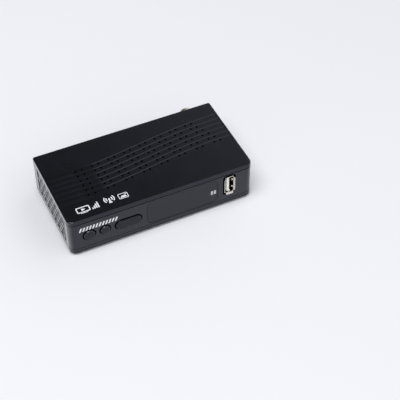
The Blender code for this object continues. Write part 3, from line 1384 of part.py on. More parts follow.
def screw(name, place, direction, length):
    """A pan-head screw with a cross recess; its place is where the head's underside meets the shank."""
    round_over = SCREW_HEAD_HEIGHT / 3
    profile = [
        (0.0, SCREW_HEAD_HEIGHT),
        (SCREW_HEAD_RADIUS - round_over, SCREW_HEAD_HEIGHT),
        (SCREW_HEAD_RADIUS, SCREW_HEAD_HEIGHT - round_over),
        (SCREW_HEAD_RADIUS, 0.0),
        (SCREW_SHANK_RADIUS, 0.0),
        (SCREW_SHANK_RADIUS, SCREW_SHANK_RADIUS - length),
        (0.0, -length),
    ]
    shape = facing(turned(name, profile, SMALL_STEPS), place[0], place[1], place[2], direction)
    arm = CROSS_LENGTH / 2
    half = CROSS_WIDTH / 2
    tip = half * CROSS_TIP_SHARE
    cross = [(half, half), (tip, arm), (-tip, arm), (-half, half), (-arm, tip), (-arm, -tip),
             (-half, -half), (-tip, -arm), (tip, -arm), (half, -half), (arm, -tip), (arm, tip)]
    middle = SCREW_HEAD_HEIGHT - CROSS_DEPTH / 2 + OVERRUN / 2
    tool = filled_outline(name + " cross", [cross], CROSS_DEPTH + OVERRUN, Matrix.Translation((0.0, 0.0, middle)))
    facing(tool, place[0], place[1], place[2], direction)
    cut(shape, tool)
    return finish(shape, name, "zinc screw")


def screws():
    """The case screws from below, the main board's from above and the front board's from behind."""
    under_head = TRAY_BOTTOM + SEAT + SCREW_HEAD_HEIGHT
    for number, (x, y) in enumerate(case_screw_places(), 1):
        screw(f"case_screw_{number}", (x, y, under_head), "down", CASE_SCREW_LENGTH)
    for number, (x, y) in enumerate(standoff_places(), 1):
        screw(f"board_screw_{number}", (x, y, ON_BOARD), "up", BOARD_SCREW_LENGTH)
    for number, (x, z) in enumerate(post_places(), 1):
        seat = FRONT_BOARD_BACK + SEAT
        screw(f"front_board_screw_{number}", (x, seat, z), "back", FRONT_SCREW_LENGTH)


top_cover()
bottom_case()
front_bezel()
rear_panel()
display_window()
buttons_and_switches()
front_board()
main_board()
display_parts()
link_header()
usb_port()
tuner_and_antenna()
hdmi_socket()
rear_jacks()
board_components()
feet()
screws()
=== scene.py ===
"""A small terrestrial television receiver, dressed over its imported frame.

Metres, +Z up. The front faces -Y. Places across are measured from the case's left side, places in
depth from its front face, and heights from the surface it stands on.
"""

import math

import bmesh
import bpy
from bpy.props import FloatProperty, FloatVectorProperty, PointerProperty
from mathutils import Matrix, Vector


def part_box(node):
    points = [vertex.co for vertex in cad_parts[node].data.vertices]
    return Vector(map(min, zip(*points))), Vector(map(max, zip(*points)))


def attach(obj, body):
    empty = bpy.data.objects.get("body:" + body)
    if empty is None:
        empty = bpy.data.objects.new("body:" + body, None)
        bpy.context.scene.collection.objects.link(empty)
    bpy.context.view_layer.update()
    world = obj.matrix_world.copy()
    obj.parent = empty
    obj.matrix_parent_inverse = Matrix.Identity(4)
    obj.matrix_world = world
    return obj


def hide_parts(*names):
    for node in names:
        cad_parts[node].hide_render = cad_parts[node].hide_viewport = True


bl_info = {
    "name": "Terrestrial TV Receiver",
    "version": (1, 0, 0),
    "blender": (4, 5, 0),
    "location": "3D View > Sidebar > Receiver",
    "description": "Builds the receiver's mouldings, sockets, prints and finishes over its frame",
    "category": "Object",
}

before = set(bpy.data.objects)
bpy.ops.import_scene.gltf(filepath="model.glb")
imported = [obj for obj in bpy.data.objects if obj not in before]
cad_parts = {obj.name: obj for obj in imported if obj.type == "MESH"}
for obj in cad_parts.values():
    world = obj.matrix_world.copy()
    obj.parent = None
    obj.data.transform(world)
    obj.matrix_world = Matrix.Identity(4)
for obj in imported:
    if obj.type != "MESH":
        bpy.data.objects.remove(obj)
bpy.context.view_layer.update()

# Places that the frame gives
PANEL_LOW, PANEL_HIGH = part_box("front_bezel")
COVER_LOW, COVER_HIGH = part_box("top_cover")
TRAY_LOW, TRAY_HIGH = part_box("bottom_case")
LEFT = PANEL_LOW.x
FRONT = PANEL_LOW.y
CASE_WIDTH = COVER_HIGH.x - LEFT
CASE_DEPTH = COVER_HIGH.y - FRONT
TOP = COVER_HIGH.z
TRAY_BOTTOM = TRAY_LOW.z


def centre_of(low, high):
    """The middle of a box: how far across the case it is, and its height."""
    return (low.x + high.x) / 2 - LEFT, (low.z + high.z) / 2


# How near two places count as the same, the least bend of an edge that is rounded, and the greatest bend
# that is shaded smooth
CLOSE = 1e-6
SHARP_ANGLE = 0.6
SMOOTH_ANGLE = math.radians(34.0)

# Walls and gaps of the mouldings, as in the frame
WALL = 0.0018
SEAM = 0.0003
SEAT = 0.0003
OVERRUN = 0.001
FRONT_CORNER = 0.0045
REAR_CORNER = 0.0013
LOW_SEAM = COVER_LOW.z - SEAM / 2
HIGH_SEAM = TOP - 0.003
CEILING = TOP - WALL
FLOOR = TRAY_BOTTOM + WALL
BEZEL_WALL = 0.0022
BEZEL_RETURN = 0.0063
FLANGE_FRONT = BEZEL_WALL + SEAM
FLANGE_BACK = FLANGE_FRONT + 0.0008

# Added over the frame: half a print's thickness, and how far each side of the upper seam is moved back
INK = 0.000012
SHADOW_GAP = 0.00008

# Screws, posts and feet, in plan
BORE = 0.0011
BOSS_RADIUS = 0.0025
BOSS_TOP = FLOOR + 0.003
CASE_SCREWS = ((0.0045, 0.015), (0.1155, 0.015), (0.0045, 0.055), (0.1155, 0.055))
STANDOFFS = ((0.012, 0.017), (0.108, 0.0195), (0.012, 0.055), (0.0952, 0.055))
FEET = ((0.013, 0.0085), (0.107, 0.0085), (0.013, 0.054), (0.107, 0.054))

# Buttons, rocker and window, as seen from the front
BUTTON_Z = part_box("power_switch")[0].z + 0.003
ROCKER_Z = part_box("channel_up_switch")[0].z + 0.003
POWER = (0.0123, BUTTON_Z)
MENU = (0.0223, BUTTON_Z)
ROCKER = (0.0372, ROCKER_Z)
POWER_HOLE = 0.0040
MENU_HOLE = 0.00345
ROCKER_HOLE = (0.0174, 0.0076)
CAP_PROUD = 0.0008
CAP_CLEARANCE = 0.00035
CAP_FLANGE = 0.0007
STEM_LENGTH = 0.0007
ROCKER_PIVOT = BEZEL_WALL + 0.001
WINDOW_SHY = 0.0001
WINDOW_FLANGE = 0.0008
ROCKER_HALF = ROCKER_HOLE[1] / 2 - CAP_CLEARANCE + CAP_FLANGE

# Sockets
USB_LOW, USB_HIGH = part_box("usb_shell")
USB_X, USB_Z = centre_of(USB_LOW, USB_HIGH)
USB_WIDTH = 0.0057
USB_HEIGHT = 0.0131
USB_SHEET = 0.0003
USB_INSIDE = (USB_WIDTH / 2 - USB_SHEET, USB_HEIGHT / 2 - USB_SHEET)
USB_TONGUE_FACE = 0.0001
ANTENNA_LOW, ANTENNA_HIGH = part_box("antenna_socket")
ANTENNA_X, ANTENNA_Z = centre_of(ANTENNA_LOW, ANTENNA_HIGH)
HDMI_LOW, HDMI_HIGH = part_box("hdmi_shell")
HDMI_X, HDMI_Z = centre_of(HDMI_LOW, HDMI_HIGH)
HDMI_TONGUE_HALF = 0.0008
AV_LOW, AV_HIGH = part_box("av_jack")
DC_LOW, DC_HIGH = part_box("dc_jack")

# Rows of vents, the first near the front
VENT_ROWS = 6
VENT_PAIRS = 8
VENT_START = 0.0176
VENT_SWING = 0.0102
VENT_SPACING = 0.00415
VENT_PITCH = (CASE_DEPTH - 0.0132 - VENT_SWING - VENT_START) / (VENT_ROWS - 1)

# The cool cast of the plastics' gloss, and the contacts' plating
SHEEN = (0.76, 0.78, 0.92)
GOLD = (0.83, 0.62, 0.25)

# Bands of a moulding's finish, by how far in from its side each ends and how far in it is full: the
# polished skin, the front corners, and the floors of the side panels
SKIN_BAND = (0.00022, 0.00013)
CORNER_BAND = (0.0026, 0.0004)
RECESS_BAND = (0.0007, 0.0005)

# Lamps and camera: metres, radians from looking along +Y, and a focal length in millimetres
KEY_LAMP_SIZE = 1.6
KEY_LAMP_PLACE = Vector((-0.55, -0.35, 2.00))
FRONT_LAMP_SIZE = 1.1
FRONT_LAMP_PLACE = Vector((0.75, -0.95, 1.05))
CAMERA_PLACE = (-0.1729, -0.4583, 0.4978)
CAMERA_YAW = 0.43608414
CAMERA_PITCH = 0.80595535
CAMERA_ROLL = -0.00391566
FOCAL_LENGTH = 99.5677

# What the properties of lengths and of colours share
LENGTH = {"unit": 'LENGTH', "subtype": 'DISTANCE'}
COLOUR = {"subtype": 'COLOR', "min": 0.0, "max": 1.0}


class CaseSizes(bpy.types.PropertyGroup):
    """Sizes of the mouldings that can change without touching the frame."""
    cover_edge: FloatProperty(
        name="Cover edge", description="Rounding of the cover's upper edges",
        default=0.0009, min=0.0002, max=0.0012, **LENGTH)
    tray_edge: FloatProperty(
        name="Tray edge", description="Rounding of the tray's lower edge",
        default=0.0012, min=0.0002, max=0.0014, **LENGTH)
    seam_edge: FloatProperty(
        name="Seam edge", description="Softening of the edges along the seams",
        default=0.00008, min=0.00002, max=0.0004, **LENGTH)
    vent_width: FloatProperty(
        name="Vent width", description="Width of one vent hole",
        default=0.0013, min=0.0006, max=0.002, **LENGTH)
    vent_length: FloatProperty(
        name="Vent length", description="Length of one vent hole, front to back",
        default=0.0018, min=0.0006, max=0.0024, **LENGTH)
    channel_depth: FloatProperty(
        name="Channel depth", description="Depth of the channels that the vents lie in",
        default=0.00036, min=0.0001, max=0.0008, **LENGTH)
    relief_depth: FloatProperty(
        name="Relief depth", description="Depth of the side panels round the lozenges",
        default=0.0003, min=0.0001, max=0.0007, **LENGTH)
    opening_edge: FloatProperty(
        name="Opening edge", description="Rounding of the front panel's openings",
        default=0.00012, min=0.00002, max=0.0004, **LENGTH)
    button_gap: FloatProperty(
        name="Button gap", description="Gap between a button and its opening",
        default=0.00047, min=0.00035, max=0.0007, **LENGTH)
    pane_edge: FloatProperty(
        name="Window edge", description="Rounding of the display window's face",
        default=0.0003, min=0.00005, max=0.0006, **LENGTH)


class FinishColours(bpy.types.PropertyGroup):
    """Colours of the receiver's finishes, as linear values."""
    cover: FloatVectorProperty(
        name="Cover", description="Plastic of the top cover",
        default=(0.0050, 0.0052, 0.0072), **COLOUR)
    panel: FloatVectorProperty(
        name="Front panel and tray", description="Plastic of the front panel and the tray",
        default=(0.0065, 0.0068, 0.0092), **COLOUR)
    button: FloatVectorProperty(
        name="Buttons", description="Plastic of the buttons and the rocker",
        default=(0.0075, 0.0080, 0.0105), **COLOUR)
    window: FloatVectorProperty(
        name="Window", description="Smoked acrylic of the display window",
        default=(0.0045, 0.0045, 0.0062), **COLOUR)
    ink: FloatVectorProperty(
        name="Print", description="White print on the cover and the front",
        default=(0.82, 0.82, 0.86), **COLOUR)
    nickel: FloatVectorProperty(
        name="Nickel", description="Plating of the sockets' shells",
        default=(0.66, 0.64, 0.565), **COLOUR)
    board: FloatVectorProperty(
        name="Board", description="Solder mask of the circuit boards",
        default=(0.012, 0.12, 0.045), **COLOUR)


class StageSettings(bpy.types.PropertyGroup):
    """The studio round the receiver."""
    floor: FloatVectorProperty(
        name="Floor", description="Colour of the floor",
        default=(0.86, 0.86, 0.90), **COLOUR)
    key_power: FloatProperty(
        name="Key lamp", description="Power of the large lamp on the left, in watts",
        default=35.0, min=0.0, max=200.0)
    front_power: FloatProperty(
        name="Front lamp", description="Power of the lamp in front on the right, in watts",
        default=0.8, min=0.0, max=200.0)
    walls: FloatProperty(
        name="Walls", description="Brightness of the room's pale walls",
        default=0.82, min=0.0, max=1.0)
    ceiling: FloatProperty(
        name="Ceiling", description="Brightness of the room's dark ceiling",
        default=0.05, min=0.0, max=1.0)


def across(from_left):
    """World X of a place measured from the case's left side."""
    return from_left + LEFT


def back(from_front):
    """World Y of a place measured from the case's front face."""
    return from_front + FRONT


def opaque(value):
    """A colour with its alpha, or another value as it is."""
    is_colour = isinstance(value, tuple) and len(value) == 3
    return (*value, 1.0) if is_colour else value


class Wire:
    """A shader node's output that takes part in sums."""

    def __init__(self, finish, socket):
        self.finish = finish
        self.socket = socket

    def with_math(self, operation, first, second):
        return self.finish.node("ShaderNodeMath", {"operation": operation}, {0: first, 1: second})

    def __add__(self, other):
        return self.with_math('ADD', self, other)

    def __radd__(self, other):
        return self.with_math('ADD', other, self)

    def __sub__(self, other):
        return self.with_math('SUBTRACT', self, other)

    def __rsub__(self, other):
        return self.with_math('SUBTRACT', other, self)

    def __mul__(self, other):
        return self.with_math('MULTIPLY', self, other)

    def __rmul__(self, other):
        return self.with_math('MULTIPLY', other, self)

    def __truediv__(self, other):
        return self.with_math('DIVIDE', self, other)

    def __rtruediv__(self, other):
        return self.with_math('DIVIDE', other, self)

    def __pow__(self, other):
        return self.with_math('POWER', self, other)

    def __rpow__(self, other):
        return self.with_math('POWER', other, self)

    def __gt__(self, other):
        return self.with_math('GREATER_THAN', self, other)

    def __lt__(self, other):
        return self.with_math('LESS_THAN', self, other)

    def __abs__(self):
        return self.with_math('ABSOLUTE', self, 0.0)


class Nodes:
    """A tree of shader nodes, and the ways that it gets more."""

    def __init__(self, tree):
        self.tree = tree

    def node(self, kind, settings=None, inputs=None, output=0):
        """Adds a node: its settings first, then the values or wires of its sockets."""
        made = self.tree.nodes.new(kind)
        for name, value in (settings or {}).items():
            setattr(made, name, value)
        for name, value in (inputs or {}).items():
            if isinstance(value, Wire):
                self.tree.links.new(value.socket, made.inputs[name])
            else:
                made.inputs[name].default_value = value
        return Wire(self, made.outputs[output])

    def here(self):
        """The place on the piece, in metres."""
        return self.node("ShaderNodeTexCoord", output="Object")

    def axes(self, place=None):
        """The three values of a place, which is the one on the piece where none is given."""
        split = self.node("ShaderNodeSeparateXYZ", inputs={0: place or self.here()}).socket.node
        return [Wire(self, socket) for socket in split.outputs]

    def stretched(self, scale):
        """The place on the piece, with each axis scaled."""
        return self.node("ShaderNodeVectorMath", {"operation": 'MULTIPLY'}, {0: self.here(), 1: scale})

    def noise(self, size, detail=2.0, place=None, roughness=0.5):
        """Cloudy variation from 0 to 1 whose features have a size in metres."""
        return self.node("ShaderNodeTexNoise", None, {"Vector": place or self.here(), "Scale": 1 / size,
                                                      "Detail": detail, "Roughness": roughness})

    def cells(self, size, place=None):
        """Distance from the middles of cells of a size in metres."""
        return self.node("ShaderNodeTexVoronoi", None, {"Vector": place or self.here(), "Scale": 1 / size})

    def between(self, value, low, high, start=0.0, end=1.0):
        """A value's smooth step between two limits."""
        return self.node("ShaderNodeMapRange", {"interpolation_type": 'SMOOTHSTEP'},
                         {"Value": value, "From Min": low, "From Max": high, "To Min": start,
                          "To Max": end})

    def lesser(self, first, second):
        return self.node("ShaderNodeMath", {"operation": 'MINIMUM'}, {0: first, 1: second})

    def greater(self, first, second):
        return self.node("ShaderNodeMath", {"operation": 'MAXIMUM'}, {0: first, 1: second})

    def mix(self, share, first, second):
        """A colour between two, by a share."""
        colours = {0: share, 6: opaque(first), 7: opaque(second)}
        return self.node("ShaderNodeMix", {"data_type": 'RGBA'}, colours, 2)

    def bumped(self, height, depth):
        """A normal from a height of 0 to 1 over a depth in metres."""
        return self.node("ShaderNodeBump", None, {"Height": height, "Strength": 1.0, "Distance": depth})

    def worn_edges(self, low, high, width):
        """1 along the edges of a box between two corners, fading over a width into its faces."""
        inside = []
        for axis, value in enumerate(self.axes()):
            middle = (low[axis] + high[axis]) / 2
            half = (high[axis] - low[axis]) / 2
            inside.append(half - abs(value - middle))
        nearer = self.lesser(inside[0], inside[1])
        farther = self.greater(inside[0], inside[1])
        second = self.greater(nearer, self.lesser(farther, inside[2]))
        ragged = second + (self.noise(0.0012, 3.0) - 0.5) * width
        return self.between(ragged, width, 0.0)


class Finish(Nodes):
    """The nodes of one finish, round a Principled shader."""

    def __init__(self, name, roughness=0.5, metallic=0.0, **uniform):
        self.material = bpy.data.materials.new(name)
        self.material.use_nodes = True
        super().__init__(self.material.node_tree)
        self.shader = self.tree.nodes["Principled BSDF"]
        self.surface(Roughness=roughness, Metallic=metallic, **uniform)

    def surface(self, **sockets):
        """Wires or sets the Principled shader's sockets."""
        for name, value in sockets.items():
            socket = self.shader.inputs[name.replace("_", " ")]
            if isinstance(value, Wire):
                self.tree.links.new(value.socket, socket)
            else:
                socket.default_value = opaque(value)
        return self.material


def tinted(colour, factor, add=0.0):
    """A colour scaled and lifted."""
    return tuple(part * factor + add for part in colour)


def moulded_plastic(name, colour, low, high, grain=0.00028, depth=0.000003, roughness=0.12, wear=0.0009):
    """Spark-textured case plastic: fine grain, flow clouds, handling marks, polished edges and sides."""
    finish = Finish(name, roughness, IOR=1.54, Specular_Tint=SHEEN, Coat_Roughness=0.06)
    x, y, z = finish.axes()
    inward = CASE_WIDTH / 2 - abs(x)
    skin = finish.between(inward, *SKIN_BAND)
    corner = finish.between(inward, *CORNER_BAND) * (y < back(0.006))
    recess = finish.between(inward, *RECESS_BAND) * (1.0 - skin) * (z < TOP - 0.0034) * (1.0 - corner)
    nearer_front = finish.between(y, back(CASE_DEPTH + 0.004), back(CASE_DEPTH - 0.014))
    skin = skin * nearer_front * 0.9
    clouds = finish.noise(0.014, 3.0)
    smudges = finish.noise(0.0065, 4.0, finish.stretched((1.0, 0.6, 1.4)), 0.62)
    fine = finish.noise(grain, 2.0)
    pits = finish.cells(grain * 1.7)
    edges = finish.worn_edges(low, high, wear)
    body = finish.mix(finish.between(clouds, 0.3, 0.7), tinted(colour, 0.86), tinted(colour, 1.14))
    specks = finish.between(finish.noise(0.0011, 1.0), 0.70, 0.78)
    dusty = finish.mix(specks * 0.30, body, tinted(colour, 1.0, 0.035))
    rubbed = finish.mix(edges * 0.5, dusty, tinted(colour, 1.5, 0.010))
    rough = roughness + (smudges - 0.5) * 0.12 + (fine - 0.5) * 0.06 + specks * 0.15 + recess * 0.20
    grain_height = fine * 0.65 + pits * 0.35
    return finish.surface(Base_Color=rubbed, Roughness=rough, Coat_Weight=finish.greater(skin, corner),
                          Normal=finish.bumped(grain_height, depth))


def button_plastic(name, colour, centre, reach, gap, shine=1.0):
    """Satin button plastic, polished by fingers on its rim and crown, with painted shade on its side wall
    by the gap.
    """
    rough = 0.26
    finish = Finish(name, rough, Specular_IOR_Level=0.30, Specular_Tint=SHEEN, Coat_Roughness=0.08)
    x, _, z = finish.axes()
    sideways = finish.greater(abs(x - centre[0]) - (reach[0] - reach[1]), 0.0)
    upwards = z - centre[1]
    away = (sideways * sideways + upwards * upwards) ** 0.5
    crown = finish.between(away, reach[1] * 0.85, reach[1] * 0.25)
    cap = reach[1] - gap
    # Painted shade: this mask covers the cap's side wall by the gap and everything beyond it
    rim = finish.between(away, cap - 0.00008, cap - 0.00001)
    polish = finish.between(away, cap - 0.00055, cap - 0.00030) * (1.0 - rim) * shine
    fine = finish.noise(0.00022, 2.0)
    body = finish.mix(finish.noise(0.0032, 3.0), tinted(colour, 0.85), tinted(colour, 1.15))
    # Painted shade in the gap: the side wall is darkened to a quarter of the plastic's colour
    body = finish.mix(rim, body, tinted(colour, 0.25))
    handled = rough - crown * 0.06 + (fine - 0.5) * 0.10 + (finish.noise(0.0021, 3.0) - 0.5) * 0.12
    return finish.surface(Base_Color=body, Roughness=handled, Coat_Weight=polish,
                          Normal=finish.bumped(fine, 0.000005))


def smoked_acrylic(colour):
    """The window's polished acrylic: hairlines, a wiping haze and settled dust."""
    finish = Finish("window_smoked_acrylic", 0.14, Specular_Tint=SHEEN)
    hairs = finish.noise(0.00035, 1.0, finish.stretched((0.06, 1.0, 1.0)))
    hairline = finish.between(hairs, 0.72, 0.76)
    haze = finish.noise(0.009, 4.0, finish.stretched((0.45, 1.0, 1.3)), 0.6)
    dust = finish.between(finish.cells(0.0019), 0.10, 0.03)
    body = finish.mix(finish.between(haze, 0.35, 0.75), tinted(colour, 0.8), tinted(colour, 1.25))
    body = finish.mix(dust * 0.10, body, (0.20, 0.20, 0.21))
    rough = 0.13 + haze * 0.09 + hairline * 0.12 + dust * 0.10
    return finish.surface(Base_Color=body, Roughness=rough,
                          Normal=finish.bumped(hairline + haze * 0.6, 0.0000012))


def print_ink(name, colour):
    """Screen-printed ink: a soft mesh pattern, pinholes and a matt skin."""
    finish = Finish(name, 0.55)
    pores = finish.between(finish.noise(0.00032, 2.0), 0.66, 0.74)
    weave = finish.noise(0.00016, 1.0)
    shade = finish.mix(finish.noise(0.0030, 2.0), tinted(colour, 0.93), colour)
    shade = finish.mix(pores * 0.4, shade, tinted(colour, 0.45))
    return finish.surface(Base_Color=shade, Roughness=0.50 + weave * 0.12,
                          Normal=finish.bumped(weave, 0.000003))


def plated_sheet(name, colour, roughness=0.22, along=(1.0, 0.12, 1.0), tarnish=(0.33, 0.28, 0.20),
                 tube=None):
    """Plated sheet metal: drawing lines along the fold, ripples, tarnish in patches, and painted shade deep
    inside a tube.
    """
    finish = Finish(name, roughness, 1.0)
    lines = finish.noise(0.00012, 2.0, finish.stretched(along))
    cast = finish.noise(0.0016, 3.0)
    spots = finish.between(finish.noise(0.0009, 4.0), 0.60, 0.76)
    body = finish.mix(finish.between(cast, 0.3, 0.7), tinted(colour, 0.88), tinted(colour, 1.06))
    body = finish.mix(spots * 0.45, body, tarnish)
    # Painted shade: past the mouth, the tube's walls are darkened to a tenth of the tarnish colour, and the
    # springs stay bright
    if tube:
        centre, half, mouth = tube
        x, y, z = finish.axes()
        walls = [finish.between(abs(value - middle), reach - 0.00022, reach - 0.00006)
                 for value, middle, reach in zip((x, z), centre, half)]
        depth = finish.between(y, mouth, mouth + 0.0010)
        body = finish.mix(depth * finish.greater(*walls), body, tinted(tarnish, 0.10))
    rough = roughness - 0.04 + lines * 0.12 + spots * 0.22
    return finish.surface(Base_Color=body, Roughness=rough,
                          Normal=finish.bumped(lines * 0.6 + cast * 0.4, 0.000006))


def turned_metal(name, colour, centre, roughness=0.26):
    """Turned and plated metal, with tool rings about an axis along Y and worn high spots."""
    finish = Finish(name, roughness, 1.0)
    x, y, z = finish.axes()
    radius = ((x - centre[0]) * (x - centre[0]) + (z - centre[1]) * (z - centre[1])) ** 0.5
    rings = finish.node("ShaderNodeMath", {"operation": 'SINE'}, {0: (radius + y) * 26000.0})
    cast = finish.noise(0.0022, 3.0)
    stain = finish.between(finish.noise(0.0013, 4.0), 0.58, 0.75)
    body = finish.mix(cast, tinted(colour, 0.86), tinted(colour, 1.05))
    body = finish.mix(stain * 0.4, body, tinted(colour, 0.42))
    rough = roughness + stain * 0.2 + (rings + 1.0) * 0.03
    return finish.surface(Base_Color=body, Roughness=rough,
                          Normal=finish.bumped(rings * 0.5 + cast, 0.000004))


def socket_moulding(name, colour, roughness=0.42):
    """Glass-filled socket plastic: short fibres in the skin and a faint parting haze."""
    finish = Finish(name, roughness)
    fibres = finish.between(finish.noise(0.00020, 2.0, finish.stretched((0.25, 1.0, 0.7))), 0.60, 0.72)
    clouds = finish.noise(0.004, 3.0)
    body = finish.mix(clouds, tinted(colour, 0.84), tinted(colour, 1.12))
    body = finish.mix(fibres * 0.25, body, tinted(colour, 1.2, 0.015))
    rough = roughness - 0.05 + clouds * 0.12 + fibres * 0.08
    return finish.surface(Base_Color=body, Roughness=rough,
                          Normal=finish.bumped(fibres + clouds * 0.4, 0.000005))


def circuit_board(colour):
    """Solder mask over copper tracks, with vias, tinned pads and glass weave; the vias' holes are painted
    near black as shade.
    """
    finish = Finish("circuit_board_mask", 0.32)
    x, y, z = finish.axes()
    lanes = []
    for first, second, pitch in ((x, y, 0.0009), (y, x, 0.0011)):
        block = finish.node("ShaderNodeMath", {"operation": 'FLOOR'}, {0: second / 0.0058})
        chance = finish.node("ShaderNodeTexWhiteNoise", {"noise_dimensions": '1D'}, {"W": block + z * 0.0})
        saw = finish.node("ShaderNodeMath", {"operation": 'PINGPONG'},
                          {0: first + chance * 0.004, 1: pitch / 2})
        lanes.append(finish.between(saw, pitch * 0.24, pitch * 0.20) * (chance > 0.45))
    tracks = finish.greater(lanes[0], lanes[1])
    vias = finish.between(finish.cells(0.0034), 0.115, 0.095)
    # Painted shade: the open middles of the vias are not cut, so they are painted near black
    holes = finish.between(finish.cells(0.0034), 0.050, 0.040)
    weave = finish.noise(0.0005, 1.0)
    mask = finish.mix(tracks * 0.8, colour, tinted(colour, 1.7, 0.008))
    mask = finish.mix(finish.noise(0.010, 2.0) * 0.35, mask, tinted(colour, 0.55))
    body = finish.mix(vias, mask, (0.62, 0.60, 0.52))
    # Painted shade of the via holes
    body = finish.mix(holes, body, (0.010, 0.012, 0.010))
    metal = vias - holes
    rough = 0.34 + weave * 0.10 - vias * 0.05
    height = tracks * 0.5 + weave * 0.12 + vias * 0.4 - holes
    return finish.surface(Base_Color=body, Roughness=rough, Metallic=metal,
                          Normal=finish.bumped(height, 0.00003))


def chip_resin():
    """Moulded chip resin: fine filler grain and a cleaner pad where it was marked."""
    finish = Finish("chip_resin", 0.55)
    grain = finish.noise(0.00016, 2.0)
    patch = finish.noise(0.0030, 2.0)
    body = finish.mix(patch, (0.014, 0.014, 0.015), (0.024, 0.024, 0.025))
    body = finish.mix(finish.between(grain, 0.62, 0.75) * 0.5, body, (0.05, 0.05, 0.05))
    return finish.surface(Base_Color=body, Roughness=0.50 + grain * 0.2,
                          Normal=finish.bumped(grain, 0.000012))


def extruded_aluminium():
    """Heat sink aluminium: extrusion lines along the fins and oxide bloom."""
    finish = Finish("heat_sink_aluminium", 0.38, 1.0)
    lines = finish.noise(0.00018, 2.0, finish.stretched((1.0, 0.05, 1.0)))
    bloom = finish.between(finish.noise(0.0028, 4.0), 0.45, 0.75)
    body = finish.mix(bloom, (0.60, 0.61, 0.63), (0.44, 0.45, 0.47))
    return finish.surface(Base_Color=body, Roughness=0.28 + lines * 0.16 + bloom * 0.14,
                          Normal=finish.bumped(lines, 0.000012))


def capacitor_sleeve(centres):
    """Shrink sleeve with its pale polarity stripe, and a bare aluminium top."""
    finish = Finish("capacitor_sleeve", 0.30)
    x, y, z = finish.axes()
    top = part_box("capacitor_1")[1].z
    stripe = None
    for centre in centres:
        near = finish.between(abs(x - centre[0]), 0.0013, 0.0011) * (y < centre[1])
        stripe = near if stripe is None else finish.greater(stripe, near)
    lid = finish.between(z, top - 0.00035, top - 0.00025)
    wrinkles = finish.noise(0.0016, 3.0, finish.stretched((1.0, 1.0, 0.3)))
    body = finish.mix(wrinkles, (0.022, 0.030, 0.065), (0.034, 0.045, 0.095))
    body = finish.mix(stripe, body, (0.42, 0.44, 0.47))
    body = finish.mix(lid, body, (0.70, 0.71, 0.72))
    return finish.surface(Base_Color=body, Roughness=0.26 + wrinkles * 0.14, Metallic=lid,
                          Normal=finish.bumped(wrinkles, 0.00004))


def ferrite():
    """Pressed ferrite: dark sintered grain with chipped, paler edges."""
    finish = Finish("ferrite_core", 0.62)
    grain = finish.noise(0.00025, 3.0)
    chips = finish.between(finish.cells(0.0007), 0.16, 0.06)
    edges = finish.worn_edges(*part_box("power_inductor"), 0.0005)
    body = finish.mix(grain, (0.030, 0.030, 0.032), (0.060, 0.058, 0.058))
    body = finish.mix(edges * chips, body, (0.14, 0.14, 0.14))
    return finish.surface(Base_Color=body, Roughness=0.55 + grain * 0.2,
                          Normal=finish.bumped(grain - edges * chips, 0.00003))


def foot_rubber():
    """Foot rubber: dull skin with pores, grey with dust where it stands."""
    finish = Finish("foot_rubber", 0.8, Specular_IOR_Level=0.3)
    _, _, z = finish.axes()
    pores = finish.between(finish.cells(0.00042), 0.22, 0.08)
    dust = finish.noise(0.0018, 4.0) * finish.between(z, 0.0008, 0.0)
    body = finish.mix(finish.noise(0.003, 2.0), (0.012, 0.012, 0.013), (0.020, 0.020, 0.021))
    body = finish.mix(dust * 0.7, body, (0.11, 0.105, 0.10))
    return finish.surface(Base_Color=body, Roughness=0.74 + dust * 0.2,
                          Normal=finish.bumped(1 - pores, 0.00003))


def clear_resin(name, colour, swirl_and_edge_shade, roughness):
    """Cast epoxy: glossy, with a few flow swirls, and painted shade that deepens its colour where its
    surface is seen edge-on.
    """
    finish = Finish(name, roughness, Coat_Weight=0.6, Coat_Roughness=0.06)
    swirl = finish.noise(0.0013, 3.0)
    # Painted shade: the colour deepens where the surface turns edge-on to the camera
    rim = finish.node("ShaderNodeLayerWeight", None, {"Blend": 0.35}, "Facing")
    body = finish.mix(swirl * 0.5 + rim * 0.5, colour, swirl_and_edge_shade)
    return finish.surface(Base_Color=body, Roughness=roughness + swirl * 0.08,
                          Normal=finish.bumped(swirl, 0.000008))


def screw_zinc():
    """Zinc-plated steel: bluish bloom, driver scuffs and fine pressing marks."""
    finish = Finish("screw_zinc", 0.3, 1.0)
    bloom = finish.noise(0.0008, 3.0)
    scuffs = finish.between(finish.noise(0.00018, 2.0, finish.stretched((1.0, 1.0, 0.3))), 0.64, 0.72)
    body = finish.mix(bloom, (0.50, 0.52, 0.56), (0.66, 0.66, 0.64))
    body = finish.mix(scuffs * 0.6, body, (0.80, 0.80, 0.80))
    return finish.surface(Base_Color=body, Roughness=0.24 + bloom * 0.16 + scuffs * 0.1,
                          Normal=finish.bumped(bloom * 0.4 + scuffs, 0.000006))


def arc(centre, radius, start, end, steps):
    """Points along an arc, both ends included, its angles in degrees."""
    points = []
    for step in range(steps + 1):
        angle = math.radians(start + (end - start) * step / steps)
        points.append((centre[0] + radius * math.cos(angle), centre[1] + radius * math.sin(angle)))
    return points


def ring(centre, radius, steps=64):
    """A closed ring of points."""
    return arc(centre, radius, 0, 360, steps)[:-1]


def round_rectangle(low, high, radius, steps=10):
    """A rectangle with four like corners."""
    points = arc((low[0] + radius, low[1] + radius), radius, 180, 270, steps)
    points += arc((high[0] - radius, low[1] + radius), radius, 270, 360, steps)
    points += arc((high[0] - radius, high[1] - radius), radius, 0, 90, steps)
    points += arc((low[0] + radius, high[1] - radius), radius, 90, 180, steps)
    return points


